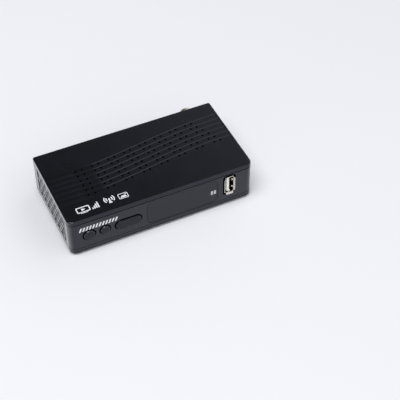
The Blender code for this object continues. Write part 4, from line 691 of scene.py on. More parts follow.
def stadium(centre, length, height, steps=24):
    """A slot with round ends, long across."""
    reach = (length - height) / 2
    points = arc((centre[0] + reach, centre[1]), height / 2, -90, 90, steps)
    points += arc((centre[0] - reach, centre[1]), height / 2, 90, 270, steps)
    return points


def leaning_bar(left, low, width, height, lean=0.25):
    """A printed bar, upright where it has no lean, or leaning to the right."""
    shift = height * lean
    return [(left, low), (left + width, low), (left + width + shift, low + height),
            (left + shift, low + height)]


def case_plan(inset=0.0, steps=16):
    """The case's plan, with larger corners in front, moved in by an inset."""
    front = FRONT_CORNER - inset
    rear = max(REAR_CORNER - inset, REAR_CORNER / 4)
    right = CASE_WIDTH - inset
    far = CASE_DEPTH - inset
    points = arc((inset + front, inset + front), front, 180, 270, steps)
    points += arc((right - front, inset + front), front, 270, 360, steps)
    points += arc((right - rear, far - rear), rear, 0, 90, steps // 2)
    points += arc((inset + rear, far - rear), rear, 90, 180, steps // 2)
    return points


def cavity_plan(steps=12):
    """The inside of the case's walls, running out past the open back."""
    front = FRONT_CORNER - WALL
    points = arc((WALL + front, WALL + front), front, 180, 270, steps)
    points += arc((CASE_WIDTH - WALL - front, WALL + front), front, 270, 360, steps)
    return points + [(CASE_WIDTH - WALL, CASE_DEPTH + OVERRUN), (WALL, CASE_DEPTH + OVERRUN)]


def front_panel_plan(steps=16):
    """The front panel's plan: a front wall that returns round both corners."""
    inner = FRONT_CORNER - BEZEL_WALL
    right = CASE_WIDTH
    points = [(0.0, BEZEL_RETURN)]
    points += arc((FRONT_CORNER, FRONT_CORNER), FRONT_CORNER, 180, 270, steps)
    points += arc((right - FRONT_CORNER, FRONT_CORNER), FRONT_CORNER, 270, 360, steps)
    points += [(right, BEZEL_RETURN), (right - BEZEL_WALL, BEZEL_RETURN)]
    points += arc((right - FRONT_CORNER, FRONT_CORNER), inner, 360, 270, steps)
    points += arc((FRONT_CORNER, FRONT_CORNER), inner, 270, 180, steps)
    return points + [(BEZEL_WALL, BEZEL_RETURN)]


def shape_from(builder, name):
    """An object whose mesh is the builder's."""
    mesh = bpy.data.meshes.new(name)
    builder.to_mesh(mesh)
    builder.free()
    shape = bpy.data.objects.new(name, mesh)
    bpy.context.scene.collection.objects.link(shape)
    return shape


def filled(name, loops, thickness, matrix):
    """A mesh plate from flat outlines: a loop inside another is a hole."""
    curve = bpy.data.curves.new(name, 'CURVE')
    curve.dimensions = '2D'
    curve.fill_mode = 'BOTH'
    curve.extrude = thickness / 2
    for loop in loops:
        spline = curve.splines.new('POLY')
        spline.points.add(len(loop) - 1)
        for point, (u, v) in zip(spline.points, loop):
            point.co = (u, v, 0.0, 1.0)
        spline.use_cyclic_u = True
    drawn = bpy.data.objects.new(name, curve)
    bpy.context.scene.collection.objects.link(drawn)
    bpy.context.view_layer.update()
    mesh = bpy.data.meshes.new_from_object(drawn.evaluated_get(bpy.context.evaluated_depsgraph_get()))
    bpy.data.objects.remove(drawn, do_unlink=True)
    bpy.data.curves.remove(curve)
    builder = bmesh.new()
    builder.from_mesh(mesh)
    bpy.data.meshes.remove(mesh)
    bmesh.ops.remove_doubles(builder, verts=builder.verts, dist=1e-7)
    bmesh.ops.dissolve_limit(builder, angle_limit=math.radians(0.1), verts=builder.verts,
                             edges=builder.edges)
    bmesh.ops.recalc_face_normals(builder, faces=builder.faces)
    bmesh.ops.transform(builder, matrix=matrix, verts=builder.verts)
    return shape_from(builder, name)


def walled(builder, rings):
    """Adds the faces round a row of like rings, with a cap on the first and on the last."""
    for first, second in zip(rings, rings[1:]):
        for corner, vert in enumerate(first):
            following = (corner + 1) % len(first)
            builder.faces.new((vert, first[following], second[following], second[corner]))
    builder.faces.new(rings[0])
    builder.faces.new(rings[-1])


def plate(name, loops, low, high):
    """A plate whose outline is seen from above, between two heights."""
    placed = [[(across(x), back(y)) for x, y in loop] for loop in loops]
    return filled(name, placed, high - low, Matrix.Translation((0.0, 0.0, (low + high) / 2)))


def panel(name, loops, near, far):
    """A plate whose outline is seen from the front, between two depths."""
    placed = [[(across(x), z) for x, z in loop] for loop in loops]
    middle = Matrix.Translation((0.0, back((near + far) / 2), 0.0))
    return filled(name, placed, far - near, middle @ Matrix.Rotation(math.radians(90), 4, 'X'))


def cuboids(name, corners):
    """Boxes, each between two corners."""
    builder = bmesh.new()
    for low, high in corners:
        first = Vector((across(low[0]), back(low[1]), low[2]))
        last = Vector((across(high[0]), back(high[1]), high[2]))
        size = Matrix.Diagonal(last - first).to_4x4()
        bmesh.ops.create_cube(builder, size=1, matrix=Matrix.Translation((first + last) / 2) @ size)
    return shape_from(builder, name)


def rods(name, ends, radius, steps=24):
    """Straight rods between pairs of ends."""
    builder = bmesh.new()
    for start, end in ends:
        first = Vector((across(start[0]), back(start[1]), start[2]))
        last = Vector((across(end[0]), back(end[1]), end[2]))
        turn = (last - first).to_track_quat('Z', 'Y').to_matrix().to_4x4()
        bmesh.ops.create_cone(builder, cap_ends=True, segments=steps, radius1=radius, radius2=radius,
                              depth=(last - first).length,
                              matrix=Matrix.Translation((first + last) / 2) @ turn)
    return shape_from(builder, name)


def posts(name, places, radius, low, high, steps=24):
    """Upright rods at places in plan."""
    return rods(name, [((x, y, low), (x, y, high)) for x, y in places], radius, steps)


def lathe(name, profile, place, facing, steps=64):
    """A turned shape from a profile of radius and height that starts and ends on its axis."""
    turns = {"front": 90, "back": -90, "up": 0}
    turn = Matrix.Rotation(math.radians(turns[facing]), 4, 'X')
    matrix = Matrix.Translation((across(place[0]), back(place[1]), place[2])) @ turn
    builder = bmesh.new()
    rings = []
    for radius, height in profile:
        around = ring((0.0, 0.0), radius, steps) if radius > 1e-9 else [(0.0, 0.0)]
        rings.append([builder.verts.new(matrix @ Vector((u, v, height))) for u, v in around])
    for first, second in zip(rings, rings[1:]):
        for step in range(steps):
            following = (step + 1) % steps
            if len(first) == 1:
                builder.faces.new((first[0], second[following], second[step]))
            elif len(second) == 1:
                builder.faces.new((first[step], first[following], second[0]))
            else:
                builder.faces.new((first[step], first[following], second[following], second[step]))
    bmesh.ops.recalc_face_normals(builder, faces=builder.faces)
    return shape_from(builder, name)


def settled(shape):
    """Applies a shape's modifiers to its mesh."""
    bpy.context.view_layer.update()
    mesh = bpy.data.meshes.new_from_object(shape.evaluated_get(bpy.context.evaluated_depsgraph_get()))
    old = shape.data
    shape.modifiers.clear()
    shape.data = mesh
    bpy.data.meshes.remove(old)
    return shape


def boolean(shape, tools, operation):
    """Cuts tools out of a shape, or joins them to it, and removes them."""
    for tool in tools:
        step = shape.modifiers.new(tool.name, 'BOOLEAN')
        step.operation = operation
        step.solver = 'EXACT'
        step.object = tool
    settled(shape)
    for tool in tools:
        bpy.data.objects.remove(tool, do_unlink=True)
    return shape


def cut(shape, *tools):
    return boolean(shape, tools, 'DIFFERENCE')


def join(shape, *tools):
    return boolean(shape, tools, 'UNION')


def together(name, shapes):
    """One object from several, without joining their solids."""
    builder = bmesh.new()
    for shape in shapes:
        builder.from_mesh(shape.data)
        bpy.data.objects.remove(shape, do_unlink=True)
    return shape_from(builder, name)


def round_edges(shape, passes, width, segments=3):
    """Rounds the sharp edges whose two ends both pass a test."""
    builder = bmesh.new()
    builder.from_mesh(shape.data)
    edges = [edge for edge in builder.edges
             if len(edge.link_faces) == 2 and edge.calc_face_angle(0.0) > SHARP_ANGLE
             and all(passes(vert.co) for vert in edge.verts)]
    bmesh.ops.bevel(builder, geom=edges, offset=width, segments=segments, profile=0.5, affect='EDGES')
    builder.to_mesh(shape.data)
    builder.free()
    return shape


def rounded(shape, width, segments=2):
    """Rounds every sharp edge of a plain shape."""
    return round_edges(shape, lambda place: True, width, segments)


def dress(shape, name, finish, replaced=(), body="case"):
    """Names a piece, gives it its finish, shades it and sets it on its body."""
    shape.name = name
    shape.data.name = name
    shape.data.materials.clear()
    shape.data.materials.append(finish)
    shape.data.shade_smooth()
    shape.data.set_sharp_from_angle(angle=SMOOTH_ANGLE)
    step = shape.modifiers.new("even shading", 'WEIGHTED_NORMAL')
    step.keep_sharp = True
    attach(shape, body)
    if replaced:
        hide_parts(*replaced)
    return shape


def coat_node(node, finish):
    """Gives a node of the frame its finish."""
    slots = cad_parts[node].material_slots
    if not slots:
        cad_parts[node].data.materials.append(finish)
    for slot in slots:
        slot.material = finish


def vent_curve(from_left):
    """How far back a vent row has swung at a place across the case."""
    share = min(max((from_left - 0.010) / (CASE_WIDTH - 0.015), 0.0), 1.0)
    return VENT_SWING * (1 - math.cos(math.pi * share)) / 2


def cover_blank(sizes):
    """The cover's outer block, with rounded upper edges and a leaning front lip."""
    skin = TOP - INK
    shape = plate("cover", [case_plan()], LOW_SEAM + SEAM / 2, skin)
    round_edges(shape, lambda place: place.z > skin - CLOSE, sizes.cover_edge, 6)
    builder = bmesh.new()
    builder.from_mesh(shape.data)
    lean = Vector((0.0, -0.003, 0.00065)).normalized()
    sliced = bmesh.ops.bisect_plane(builder, geom=builder.verts[:] + builder.edges[:] + builder.faces[:],
                                    plane_co=(0.0, FRONT, HIGH_SEAM), plane_no=lean, dist=1e-7,
                                    clear_outer=True)
    rim = [item for item in sliced["geom_cut"] if isinstance(item, bmesh.types.BMEdge)]
    bmesh.ops.holes_fill(builder, edges=rim)
    bmesh.ops.recalc_face_normals(builder, faces=builder.faces)
    builder.to_mesh(shape.data)
    builder.free()
    aside = CASE_WIDTH / 2 - FRONT_CORNER - 1e-4
    round_edges(shape,
                lambda place: place.z > skin - 2e-6 and place.y < back(0.0009) and abs(place.x) < aside,
                sizes.seam_edge * 3.0, 3)
    for vert in shape.data.vertices:
        vert.co.z = min(vert.co.z, skin)
    return shape


def vent_channels(sizes):
    """Cutters of the six curved channels, each flat between steep sides and shallower at its left end."""
    margin, steps = 0.00125, 72
    fade_start, fade_length, least = 0.004, 0.032, 0.3
    builder = bmesh.new()
    for row in range(VENT_ROWS):
        rings = []
        for step in range(steps + 1):
            from_left = margin + (CASE_WIDTH - margin * 2) * step / steps
            start = VENT_START + row * VENT_PITCH + vent_curve(from_left)
            faded = min(max((from_left - fade_start) / fade_length, 0.0), 1.0)
            depth = sizes.channel_depth * (least + (1 - least) * faded)
            section = ((-0.60, 0.00002), (-0.53, -depth * 0.92), (0.26, -depth), (0.33, -depth * 0.35),
                       (0.36, -depth * 0.05), (0.37, OVERRUN), (-0.60, OVERRUN))
            rings.append([builder.verts.new((across(from_left), back(start + share * VENT_PITCH),
                                             TOP + height))
                          for share, height in section])
        walled(builder, rings)
    bmesh.ops.recalc_face_normals(builder, faces=builder.faces)
    return shape_from(builder, "vent channels")


def vent_holes(sizes):
    """Cutters of the vents: pairs along each row, set wider towards the front."""
    size = Matrix.Diagonal((sizes.vent_width / 2, sizes.vent_length / 2, WALL + OVERRUN)).to_4x4()
    builder = bmesh.new()
    for row in range(VENT_ROWS):
        share = row / (VENT_ROWS - 1)
        first = 0.0199 - share * 0.0003
        last = CASE_WIDTH - 0.0088 - share * 0.01045
        pitch = (last - first - VENT_SPACING) / (VENT_PAIRS - 1)
        for pair in range(VENT_PAIRS):
            for x in (first + pair * pitch, first + pair * pitch + VENT_SPACING):
                middle = Vector((across(x), back(VENT_START + row * VENT_PITCH + vent_curve(x)),
                                 TOP - WALL / 2))
                bmesh.ops.create_cone(builder, cap_ends=True, segments=12, radius1=1, radius2=1, depth=1,
                                      matrix=Matrix.Translation(middle) @ size)
    return shape_from(builder, "vent holes")


def side_relief(sizes):
    """Cutters of the shallow side panels, and the lozenges that stand in them."""
    low, high = LOW_SEAM + 0.0011, TOP - 0.0035
    near, far = 0.0077, CASE_DEPTH - 0.0069
    depth = sizes.relief_depth
    spans = ((-OVERRUN, depth), (CASE_WIDTH - depth, CASE_WIDTH + OVERRUN))
    recess = cuboids("relief recess", [((start, near, low), (end, far, high)) for start, end in spans])
    columns, rows = 8, 4
    wide, tall = (far - near) / columns, (high - low) / rows
    half_wide, half_tall = wide * 0.4175, tall * 0.4675
    corners = ((half_wide, 0), (0, half_tall), (-half_wide, 0), (0, -half_tall))
    levels = ((1.0, depth + WALL / 8), (0.97, depth), (0.80, 0.00008), (0.76, 0.00005))
    middle = LEFT + CASE_WIDTH / 2
    builder = bmesh.new()
    for row in range(rows):
        shift = row % 2
        height = low + (row + 0.5) * tall
        for column in range(columns - shift):
            place = back(near + (column + 0.5 + shift / 2) * wide)
            for side in (-1, 1):
                rings = []
                for share, from_face in levels:
                    x = middle + side * (CASE_WIDTH / 2 - from_face)
                    rings.append([builder.verts.new((x, place + y * share, height + z * share))
                                  for y, z in corners])
                walled(builder, rings)
    bmesh.ops.recalc_face_normals(builder, faces=builder.faces)
    return recess, shape_from(builder, "lozenges")


def cover_moulding(sizes):
    """Roof, side walls and front lip in one moulding, with four screw bosses inside."""
    shape = cover_blank(sizes)
    cut(shape, plate("cover cavity", [cavity_plan()], TRAY_BOTTOM, CEILING))
    lip = HIGH_SEAM + SEAM / 2 + SHADOW_GAP
    opening = ((-OVERRUN, -OVERRUN, TRAY_BOTTOM), (CASE_WIDTH + OVERRUN, BEZEL_RETURN + SEAM, lip))
    cut(shape, cuboids("front opening", [opening]))
    round_edges(shape, lambda place: abs(place.z - lip) < CLOSE and place.y < back(WALL * 0.6),
                sizes.seam_edge, 2)
    base = BOSS_TOP + SEAT
    join(shape, posts("cover bosses", CASE_SCREWS, BOSS_RADIUS, base, CEILING + WALL / 2))
    cut(shape, posts("cover boss bores", CASE_SCREWS, BORE, base - OVERRUN, 0.0162))
    recess, lozenges = side_relief(sizes)
    cut(shape, recess)
    join(shape, lozenges)
    cut(shape, vent_channels(sizes))
    return cut(shape, vent_holes(sizes))


def tray_moulding(sizes):
    """The tray: grooved wall, slotted floor, bosses for the case screws and standoffs for the board."""
    rim, under = LOW_SEAM - SEAM / 2, TRAY_BOTTOM - OVERRUN
    shape = plate("tray", [case_plan()], TRAY_BOTTOM, rim)
    round_edges(shape, lambda place: place.z < TRAY_BOTTOM + CLOSE, sizes.tray_edge, 6)
    round_edges(shape, lambda place: place.z > rim - CLOSE, sizes.seam_edge, 2)
    cut(shape, plate("tray cavity", [cavity_plan()], FLOOR, LOW_SEAM + OVERRUN))
    groove, groove_half = TRAY_BOTTOM + 0.0019, 0.00015
    loops = [case_plan(-OVERRUN), case_plan(0.00025)]
    cut(shape, plate("tray groove", loops, groove - groove_half, groove + groove_half))
    root = FLOOR - WALL / 2
    board_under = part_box("main_board")[0].z
    join(shape, posts("tray bosses", CASE_SCREWS, BOSS_RADIUS, root, BOSS_TOP))
    join(shape, posts("board standoffs", STANDOFFS, 0.00225, root, board_under - SEAT))
    rib = 0.0009
    ribs = [((x, 0.021, root), (x + rib, 0.049, LOW_SEAM + 0.002))
            for x in (WALL + SEAM, CASE_WIDTH - WALL - SEAM - rib)]
    join(shape, cuboids("locating ribs", ribs))
    cut(shape, posts("case screw holes", CASE_SCREWS, BORE, under, BOSS_TOP + OVERRUN))
    cut(shape, posts("case screw heads", CASE_SCREWS, 0.0021, under, TRAY_BOTTOM + 0.0017, 32))
    cut(shape, posts("standoff bores", STANDOFFS, BORE, FLOOR, BOSS_TOP + 0.01))
    cut(shape, posts("foot recesses", FEET, 0.0043, under, TRAY_BOTTOM + 0.0006, 48))
    slots = []
    for row in (-1, 1):
        for column in range(-4, 5):
            place = (CASE_DEPTH / 2 + row * 0.009, CASE_WIDTH / 2 + column * 0.0045)
            loop = [(x, y) for y, x in stadium(place, 0.012, 0.0016, 8)]
            slots.append(plate("slot", [loop], under, FLOOR + OVERRUN))
    return cut(shape, together("floor slots", slots))


def front_openings():
    """The front panel's openings as seen from the front."""
    clear = 0.00025
    half_wide, half_tall = 0.0042, 0.00755
    return [
        ring(POWER, POWER_HOLE + clear),
        ring(MENU, MENU_HOLE + clear),
        stadium(ROCKER, ROCKER_HOLE[0] + clear * 2, ROCKER_HOLE[1] + clear * 2),
        window_loop(SEAM),
        round_rectangle((USB_X - half_wide, USB_Z - half_tall), (USB_X + half_wide, USB_Z + half_tall),
                        0.0012, 8),
    ]


def window_loop(grow):
    """The display window's outline as seen from the front, grown by an amount."""
    low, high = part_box("display_window")
    inset = WINDOW_FLANGE - grow
    return round_rectangle((low.x - LEFT + inset, low.z + inset), (high.x - LEFT - inset, high.z - inset),
                           0.0035 + grow, 14)


def front_panel_moulding(sizes):
    """The front panel with its softened openings, tongues, rocker ears and board posts."""
    low, high = LOW_SEAM + SEAM / 2, HIGH_SEAM - SEAM / 2 - SHADOW_GAP
    shape = plate("front panel", [front_panel_plan()], low, high)

    def on_rim(place):
        along = min(abs(place.z - low), abs(place.z - high)) < CLOSE
        x, y = place.x - LEFT, place.y - FRONT
        aside = min(x, CASE_WIDTH - x)
        corner = math.hypot(min(aside - FRONT_CORNER, 0.0), min(y - FRONT_CORNER, 0.0))
        return along and (y < CLOSE or aside < CLOSE or abs(corner - FRONT_CORNER) < CLOSE)

    def on_opening(place):
        x, z = place.x - LEFT, place.z
        return place.y < back(CLOSE) and 0.006 < x < CASE_WIDTH - 0.006 and low + 0.0005 < z < high - 0.0005

    round_edges(shape, on_rim, sizes.seam_edge, 2)
    cut(shape, panel("front openings", front_openings(), -OVERRUN, BEZEL_WALL + OVERRUN))
    round_edges(shape, on_opening, sizes.opening_edge, 3)
    near, far = WALL + SEAM, WALL + SEAM + 0.0012
    reach, root = 0.001, 0.0012
    tongues = []
    for start, end in ((0.010, 0.046), (CASE_WIDTH - 0.011, CASE_WIDTH - 0.004)):
        tongues.append(((start, near, low - reach), (end, far, low + root)))
        tongues.append(((start, near, high - root), (end, far, high + reach)))
    join(shape, cuboids("tongues", tongues))
    x, half_ear = ROCKER[0], 0.0016
    ears = []
    for side in (-1, 1):
        inner = ROCKER_Z + side * (ROCKER_HALF + SEAM)
        outer = ROCKER_Z + side * (ROCKER_HALF + SEAM + 0.0017)
        ears.append(((x - half_ear, BEZEL_WALL - WALL / 4, min(inner, outer)),
                     (x + half_ear, BEZEL_WALL + 0.0026, max(inner, outer))))
    join(shape, cuboids("rocker ears", ears))
    reach = ROCKER_HALF + 0.003
    cut(shape, posts("rocker pin bores", [(x, ROCKER_PIVOT)], 0.00092, ROCKER_Z - reach, ROCKER_Z + reach))
    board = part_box("front_board")[0].y - FRONT - SEAT
    places = [(across_case, HIGH_SEAM - 0.0032) for across_case in (0.007, 0.0445)]
    supports = [((x, BEZEL_WALL - WALL / 2, z), (x, board, z)) for x, z in places]
    bores = [((x, BEZEL_WALL, z), (x, board + OVERRUN, z)) for x, z in places]
    join(shape, rods("board posts", supports, 0.002))
    return cut(shape, rods("post bores", bores, BORE))


def window_pane(sizes):
    """The smoked window: a crowned plug in the panel's opening and a flange behind it."""
    shape = panel("window", [window_loop(SEAM * 0.7)], WINDOW_SHY, FLANGE_FRONT + 0.0004)
    near = back(WINDOW_SHY) + CLOSE
    round_edges(shape, lambda place: place.y < near, sizes.pane_edge, 4)
    return join(shape, panel("window flange", [window_loop(WINDOW_FLANGE)], FLANGE_FRONT, FLANGE_BACK))


def round_cap(name, place, hole, sizes):
    """A round button: domed cap with a bevelled rim, flange behind the panel, and stem to its switch."""
    cap = hole - sizes.button_gap
    bevel, dome, drop = 0.00024, 0.00008, 0.00044
    profile = [(0.0, CAP_PROUD)]
    for step in range(1, 9):
        share = step / 8
        profile.append(((cap - bevel) * share, CAP_PROUD - dome * share ** 2))
    for step in range(1, 6):
        share = step / 5
        profile.append((cap - bevel + bevel * share,
                        CAP_PROUD - dome - drop * (share * 0.8 + 0.2 * share ** 2)))
    flange, stem = hole - CAP_CLEARANCE + CAP_FLANGE, 0.0015
    foot = -FLANGE_BACK - STEM_LENGTH
    profile += [(cap, -FLANGE_FRONT), (flange, -FLANGE_FRONT), (flange, -FLANGE_BACK),
                (stem, -FLANGE_BACK),
                (stem, foot), (0.0, foot)]
    return lathe(name, profile, (place[0], 0.0, place[1]), "front", 72)


def rocker_cap(sizes):
    """The long rocker: rounded cap, flange, two pads over its switches and the pins it turns on."""
    flange_front = BEZEL_WALL + 0.0005
    cap_back = flange_front + 0.0005
    x = ROCKER[0]
    length, height = [side - sizes.button_gap * 2 for side in ROCKER_HOLE]
    shape = panel("rocker", [stadium(ROCKER, length, height, 28)], -CAP_PROUD, cap_back)
    near = back(-CAP_PROUD) + CLOSE
    round_edges(shape, lambda place: place.y < near, 0.0006, 6)
    length, height = [side - CAP_CLEARANCE * 2 + CAP_FLANGE * 2 for side in ROCKER_HOLE]
    join(shape,
         panel("rocker flange", [stadium(ROCKER, length, height)], flange_front, flange_front + 0.001))
    reach = height / 2 + 0.0014
    join(shape, posts("rocker pins", [(x, ROCKER_PIVOT)], 0.0008, ROCKER_Z - reach, ROCKER_Z + reach))
    pads = [((x + side, cap_back, ROCKER_Z), (x + side, FLANGE_BACK + STEM_LENGTH, ROCKER_Z))
            for side in (-0.005, 0.005)]
    return join(shape, rods("rocker pads", pads, 0.0012))


def bent_strip(builder, path, widths, thickness, place):
    """A strip of sheet that follows a path of (outward, along) points, with a width at each."""
    rings = []
    for step, (out, along) in enumerate(path):
        before, after = path[max(step - 1, 0)], path[min(step + 1, len(path) - 1)]
        run = Vector((after[0] - before[0], after[1] - before[1])).normalized()
        side = Vector((run.y, -run.x)) * thickness / 2
        half = widths[step] / 2
        rings.append([builder.verts.new(place @ Vector((out + offset.x, along + offset.y, height)))
                      for offset, height in ((side, -half), (side, half), (-side, half), (-side, -half))])
    walled(builder, rings)


def usb_shell():
    """The port's folded shell: a tube of sheet, four flared lips and the springs that hold a plug."""
    sheet, lip, flare, proud = USB_SHEET, 0.0012, math.radians(48), 0.001
    wide, tall = USB_WIDTH, USB_HEIGHT
    mouth = lip * math.cos(flare) + sheet / 2 * math.sin(flare) - proud
    loops = [round_rectangle((USB_X - wide / 2 + grow, USB_Z - tall / 2 + grow),
                             (USB_X + wide / 2 - grow, USB_Z + tall / 2 - grow), 0.0007 - grow, 8)
             for grow in (0.0, sheet)]
    tube = panel("usb tube", loops, mouth, USB_HIGH.y - FRONT)
    builder = bmesh.new()
    builder.from_mesh(tube.data)
    bpy.data.objects.remove(tube, do_unlink=True)
    root = Matrix.Translation((across(USB_X), back(mouth), USB_Z))
    for span, width, roll in ((wide, tall, 0), (tall, wide, 90), (wide, tall, 180), (tall, wide, 270)):
        place = root @ Matrix.Rotation(math.radians(roll), 4, 'Y')
        start = (span - sheet) / 2
        bend = 0.0004
        path, widths = [], []
        for step in range(7):
            angle = flare * step / 6
            path.append((start + bend * (1 - math.cos(angle)), sheet / 2 - bend * math.sin(angle)))
            widths.append(width * 0.84)
        out, along = path[-1]
        rest = (-proud + sheet / 2 * math.sin(flare) - mouth - along) / -math.cos(flare)
        for step in range(1, 6):
            share = step / 5
            path.append((out + math.sin(flare) * rest * share, along - math.cos(flare) * rest * share))
            widths.append(width * (0.84 - 0.10 * max(0.0, share - 0.55) / 0.45))
        bent_strip(builder, path, widths, sheet, place)
        dips = ((0.0, 0.0), (0.05, 0.00022), (0.10, 0.00050), (0.14, 0.00066), (0.19, 0.00072),
                (0.26, 0.00068),
                (0.5, 0.00042), (0.8, 0.00012), (1.0, 0.0))
        path = [(start - sheet * 0.6 - dip, 0.0006 + 0.0048 * share) for share, dip in dips]
        for row in (-0.0029, 0.0029) if width > span else (0.0,):
            spring = place @ Matrix.Translation((0.0, 0.0, row))
            bent_strip(builder, path, [0.0014 + 0.0006 * step / 8 for step in range(9)], 0.00018, spring)
    bmesh.ops.recalc_face_normals(builder, faces=builder.faces)
    return shape_from(builder, "usb shell")


def usb_insulator():
    """The port's white tongue, chamfered at its nose, and the block that holds it."""
    low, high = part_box("usb_tongue")
    near, far = low.y - FRONT, high.y - FRONT
    half_wide, half_tall = USB_INSIDE[0] - SEAM, USB_INSIDE[1] - SEAM
    loop = round_rectangle((USB_X - half_wide, USB_Z - half_tall), (USB_X + half_wide, USB_Z + half_tall),
                           0.0004, 4)
    block = panel("usb block", [loop], far - 0.0032, far)
    tongue = cuboids("usb tongue", [((USB_X - 0.0017, near, USB_Z - 0.00555),
                                     (USB_X + USB_TONGUE_FACE, far - 0.0016, USB_Z + 0.00555))])
    rounded(tongue, 0.00025, 3)
    return join(block, tongue)


def usb_contacts():
    """The four gold strips let into the tongue's right side."""
    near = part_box("usb_tongue")[0].y - FRONT
    path = [(0.0, 0.0010), (0.0001, 0.0013), (0.00022, 0.0020), (0.00026, 0.0030), (0.00016, 0.0050),
            (0.00002, 0.0082)]
    widths = [0.0007, 0.0009, 0.001, 0.001, 0.001, 0.001]
    builder = bmesh.new()
    for z in (-0.0035, -0.00125, 0.00125, 0.0035):
        place = Matrix.Translation((across(USB_X + USB_TONGUE_FACE), back(near), USB_Z + z))
        bent_strip(builder, path, widths, 0.0002, place)
    bmesh.ops.recalc_face_normals(builder, faces=builder.faces)
    return shape_from(builder, "usb contacts")


def antenna_sleeve():
    """The antenna socket's turned sleeve: flange, two shallow grooves, rolled mouth and lead-in."""
    length = ANTENNA_HIGH.y - ANTENNA_LOW.y
    seat, bore, radius, flange, flange_radius = 0.0015, 0.0039, 0.00475, 0.0011, 0.0054
    lead, roll, groove = (0.00042, 0.0007), 0.0003, 0.0002
    profile = [(0.0, seat), (bore, seat), (bore, length - lead[1])]
    profile += [(bore + lead[0] - lead[0] * math.cos(a), length - lead[1] + lead[1] * math.sin(a))
                for a in (0.4, 0.8, 1.2, 1.5)]
    profile += [(radius - roll + roll * math.sin(a), length - roll + roll * math.cos(a))
                for a in (0.0, 0.5, 1.0, 1.57)]
    for foot in (length - 0.00395, length - 0.00695):
        profile += [(radius - inward, foot - along) for inward, along in (
            (0.0, 0.0), (groove / 2, 0.00008), (groove, 0.0002), (groove, 0.0006), (groove / 2, 0.00072),
            (0.0, 0.0008))]
    profile += [(radius, flange), (flange_radius - 0.0001, flange), (flange_radius, flange - 0.0001),
                (flange_radius, 0.0), (0.0, 0.0)]
    return lathe("antenna sleeve", profile, (ANTENNA_X, ANTENNA_LOW.y - FRONT, ANTENNA_Z), "back", 96)


def hdmi_loop(shrink, low, high):
    """The HDMI shell's outline from the back, with sloped lower corners and a soft bend at each."""
    slope, bend = 0.0017, 0.0004
    half = (high.x - low.x) / 2 - shrink
    bottom, top = low.z + shrink, high.z - shrink
    corners = [Vector((HDMI_X + x, z)) for x, z in (
        (-half + slope, bottom), (half - slope, bottom), (half, bottom + slope), (half, top), (-half, top),
        (-half, bottom + slope))]
    soft = []
    for step, here in enumerate(corners):
        first = here + (corners[step - 1] - here).normalized() * bend
        last = here + (corners[(step + 1) % len(corners)] - here).normalized() * bend
        for share in (0.0, 0.25, 0.5, 0.75, 1.0):
            soft.append(tuple(first * (1 - share) ** 2 + here * 2 * share * (1 - share)
                              + last * share ** 2))
    return soft


def hdmi_shell():
    """The HDMI socket's folded shell, with two springs on its roof and two on its floor."""
    low, high = HDMI_LOW, HDMI_HIGH
    loops = [hdmi_loop(shrink, low, high) for shrink in (0.0, 0.0004)]
    shape = panel("hdmi tube", loops, low.y - FRONT, high.y - FRONT)
    round_edges(shape, lambda place: place.y > high.y - CLOSE, 0.0001, 2)
    builder = bmesh.new()
    builder.from_mesh(shape.data)
    bpy.data.objects.remove(shape, do_unlink=True)
    inner = (high.z - low.z) / 2 - 0.00052
    path = [(inner - 0.0004 * math.sin(math.pi * step / 10) ** 1.5, -0.0006 - 0.0044 * step / 10)
            for step in range(11)]
    for roll in (90, 270):
        for x in (-0.0031, 0.0031):
            middle = Matrix.Translation((across(HDMI_X) + x, high.y, HDMI_Z))
            bent_strip(builder, path, [0.0012] * 11, 0.00014,
                       middle @ Matrix.Rotation(math.radians(roll), 4, 'Y'))
    bmesh.ops.recalc_face_normals(builder, faces=builder.faces)
    return shape_from(builder, "hdmi shell")


def hdmi_insulator():
    """The HDMI socket's tongue and the block that holds it."""
    low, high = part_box("hdmi_tongue")
    near, far = low.y - FRONT, high.y - FRONT
    block = panel("hdmi block", [hdmi_loop(0.0007, HDMI_LOW, HDMI_HIGH)], near, near + 0.0035)
    tongue = cuboids("hdmi tongue", [((HDMI_X - 0.0059, near + 0.0017, HDMI_Z - HDMI_TONGUE_HALF),
                                      (HDMI_X + 0.0059, far, HDMI_Z + HDMI_TONGUE_HALF))])
    rounded(tongue, 0.00022, 2)
    return join(block, tongue)


def hdmi_contacts():
    """Nineteen fine contacts on the tongue, ten above and nine below."""
    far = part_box("hdmi_tongue")[1].y - FRONT
    pitch, half, thick = 0.001, 0.00022, 0.00006
    corners = []
    for side, count in ((1, 10), (-1, 9)):
        face = HDMI_Z + side * HDMI_TONGUE_HALF
        low, high = sorted((face, face + side * thick))
        for place in range(count):
            x = HDMI_X + (place - (count - 1) / 2) * pitch
            corners.append(((x - half, far - 0.0062, low), (x + half, far - 0.0006, high)))
    return cuboids("hdmi contacts", corners)


def round_socket(name, low, high, radius, bore, depth, block_depth):
    """A moulded jack: a block on the board, a collar through the rear panel and a flared bore."""
    x, middle = centre_of(low, high)
    near, mouth = low.y - FRONT, high.y - FRONT
    length = mouth - near
    corners = ((low.x - LEFT, near, low.z), (high.x - LEFT, near + block_depth, high.z))
    block = rounded(cuboids(name, [corners]), 0.0002, 2)
    profile = [(0.0, length - depth), (bore, length - depth), (bore, length - 0.0005),
               (bore + 0.00012, length - 0.0002), (bore + 0.00035, length), (radius - 0.00025, length),
               (radius - 0.00007, length - 0.00007), (radius, length - 0.00025), (radius, block_depth / 2),
               (0.0, block_depth / 2)]
    collar = lathe(name + " collar", profile, (x, near, middle), "back", 64)
    cut(block,
        rods(name + " bore", [((x, mouth - depth, middle), (x, mouth + OVERRUN, middle))], bore, 64))
    return together(name, [block, collar])


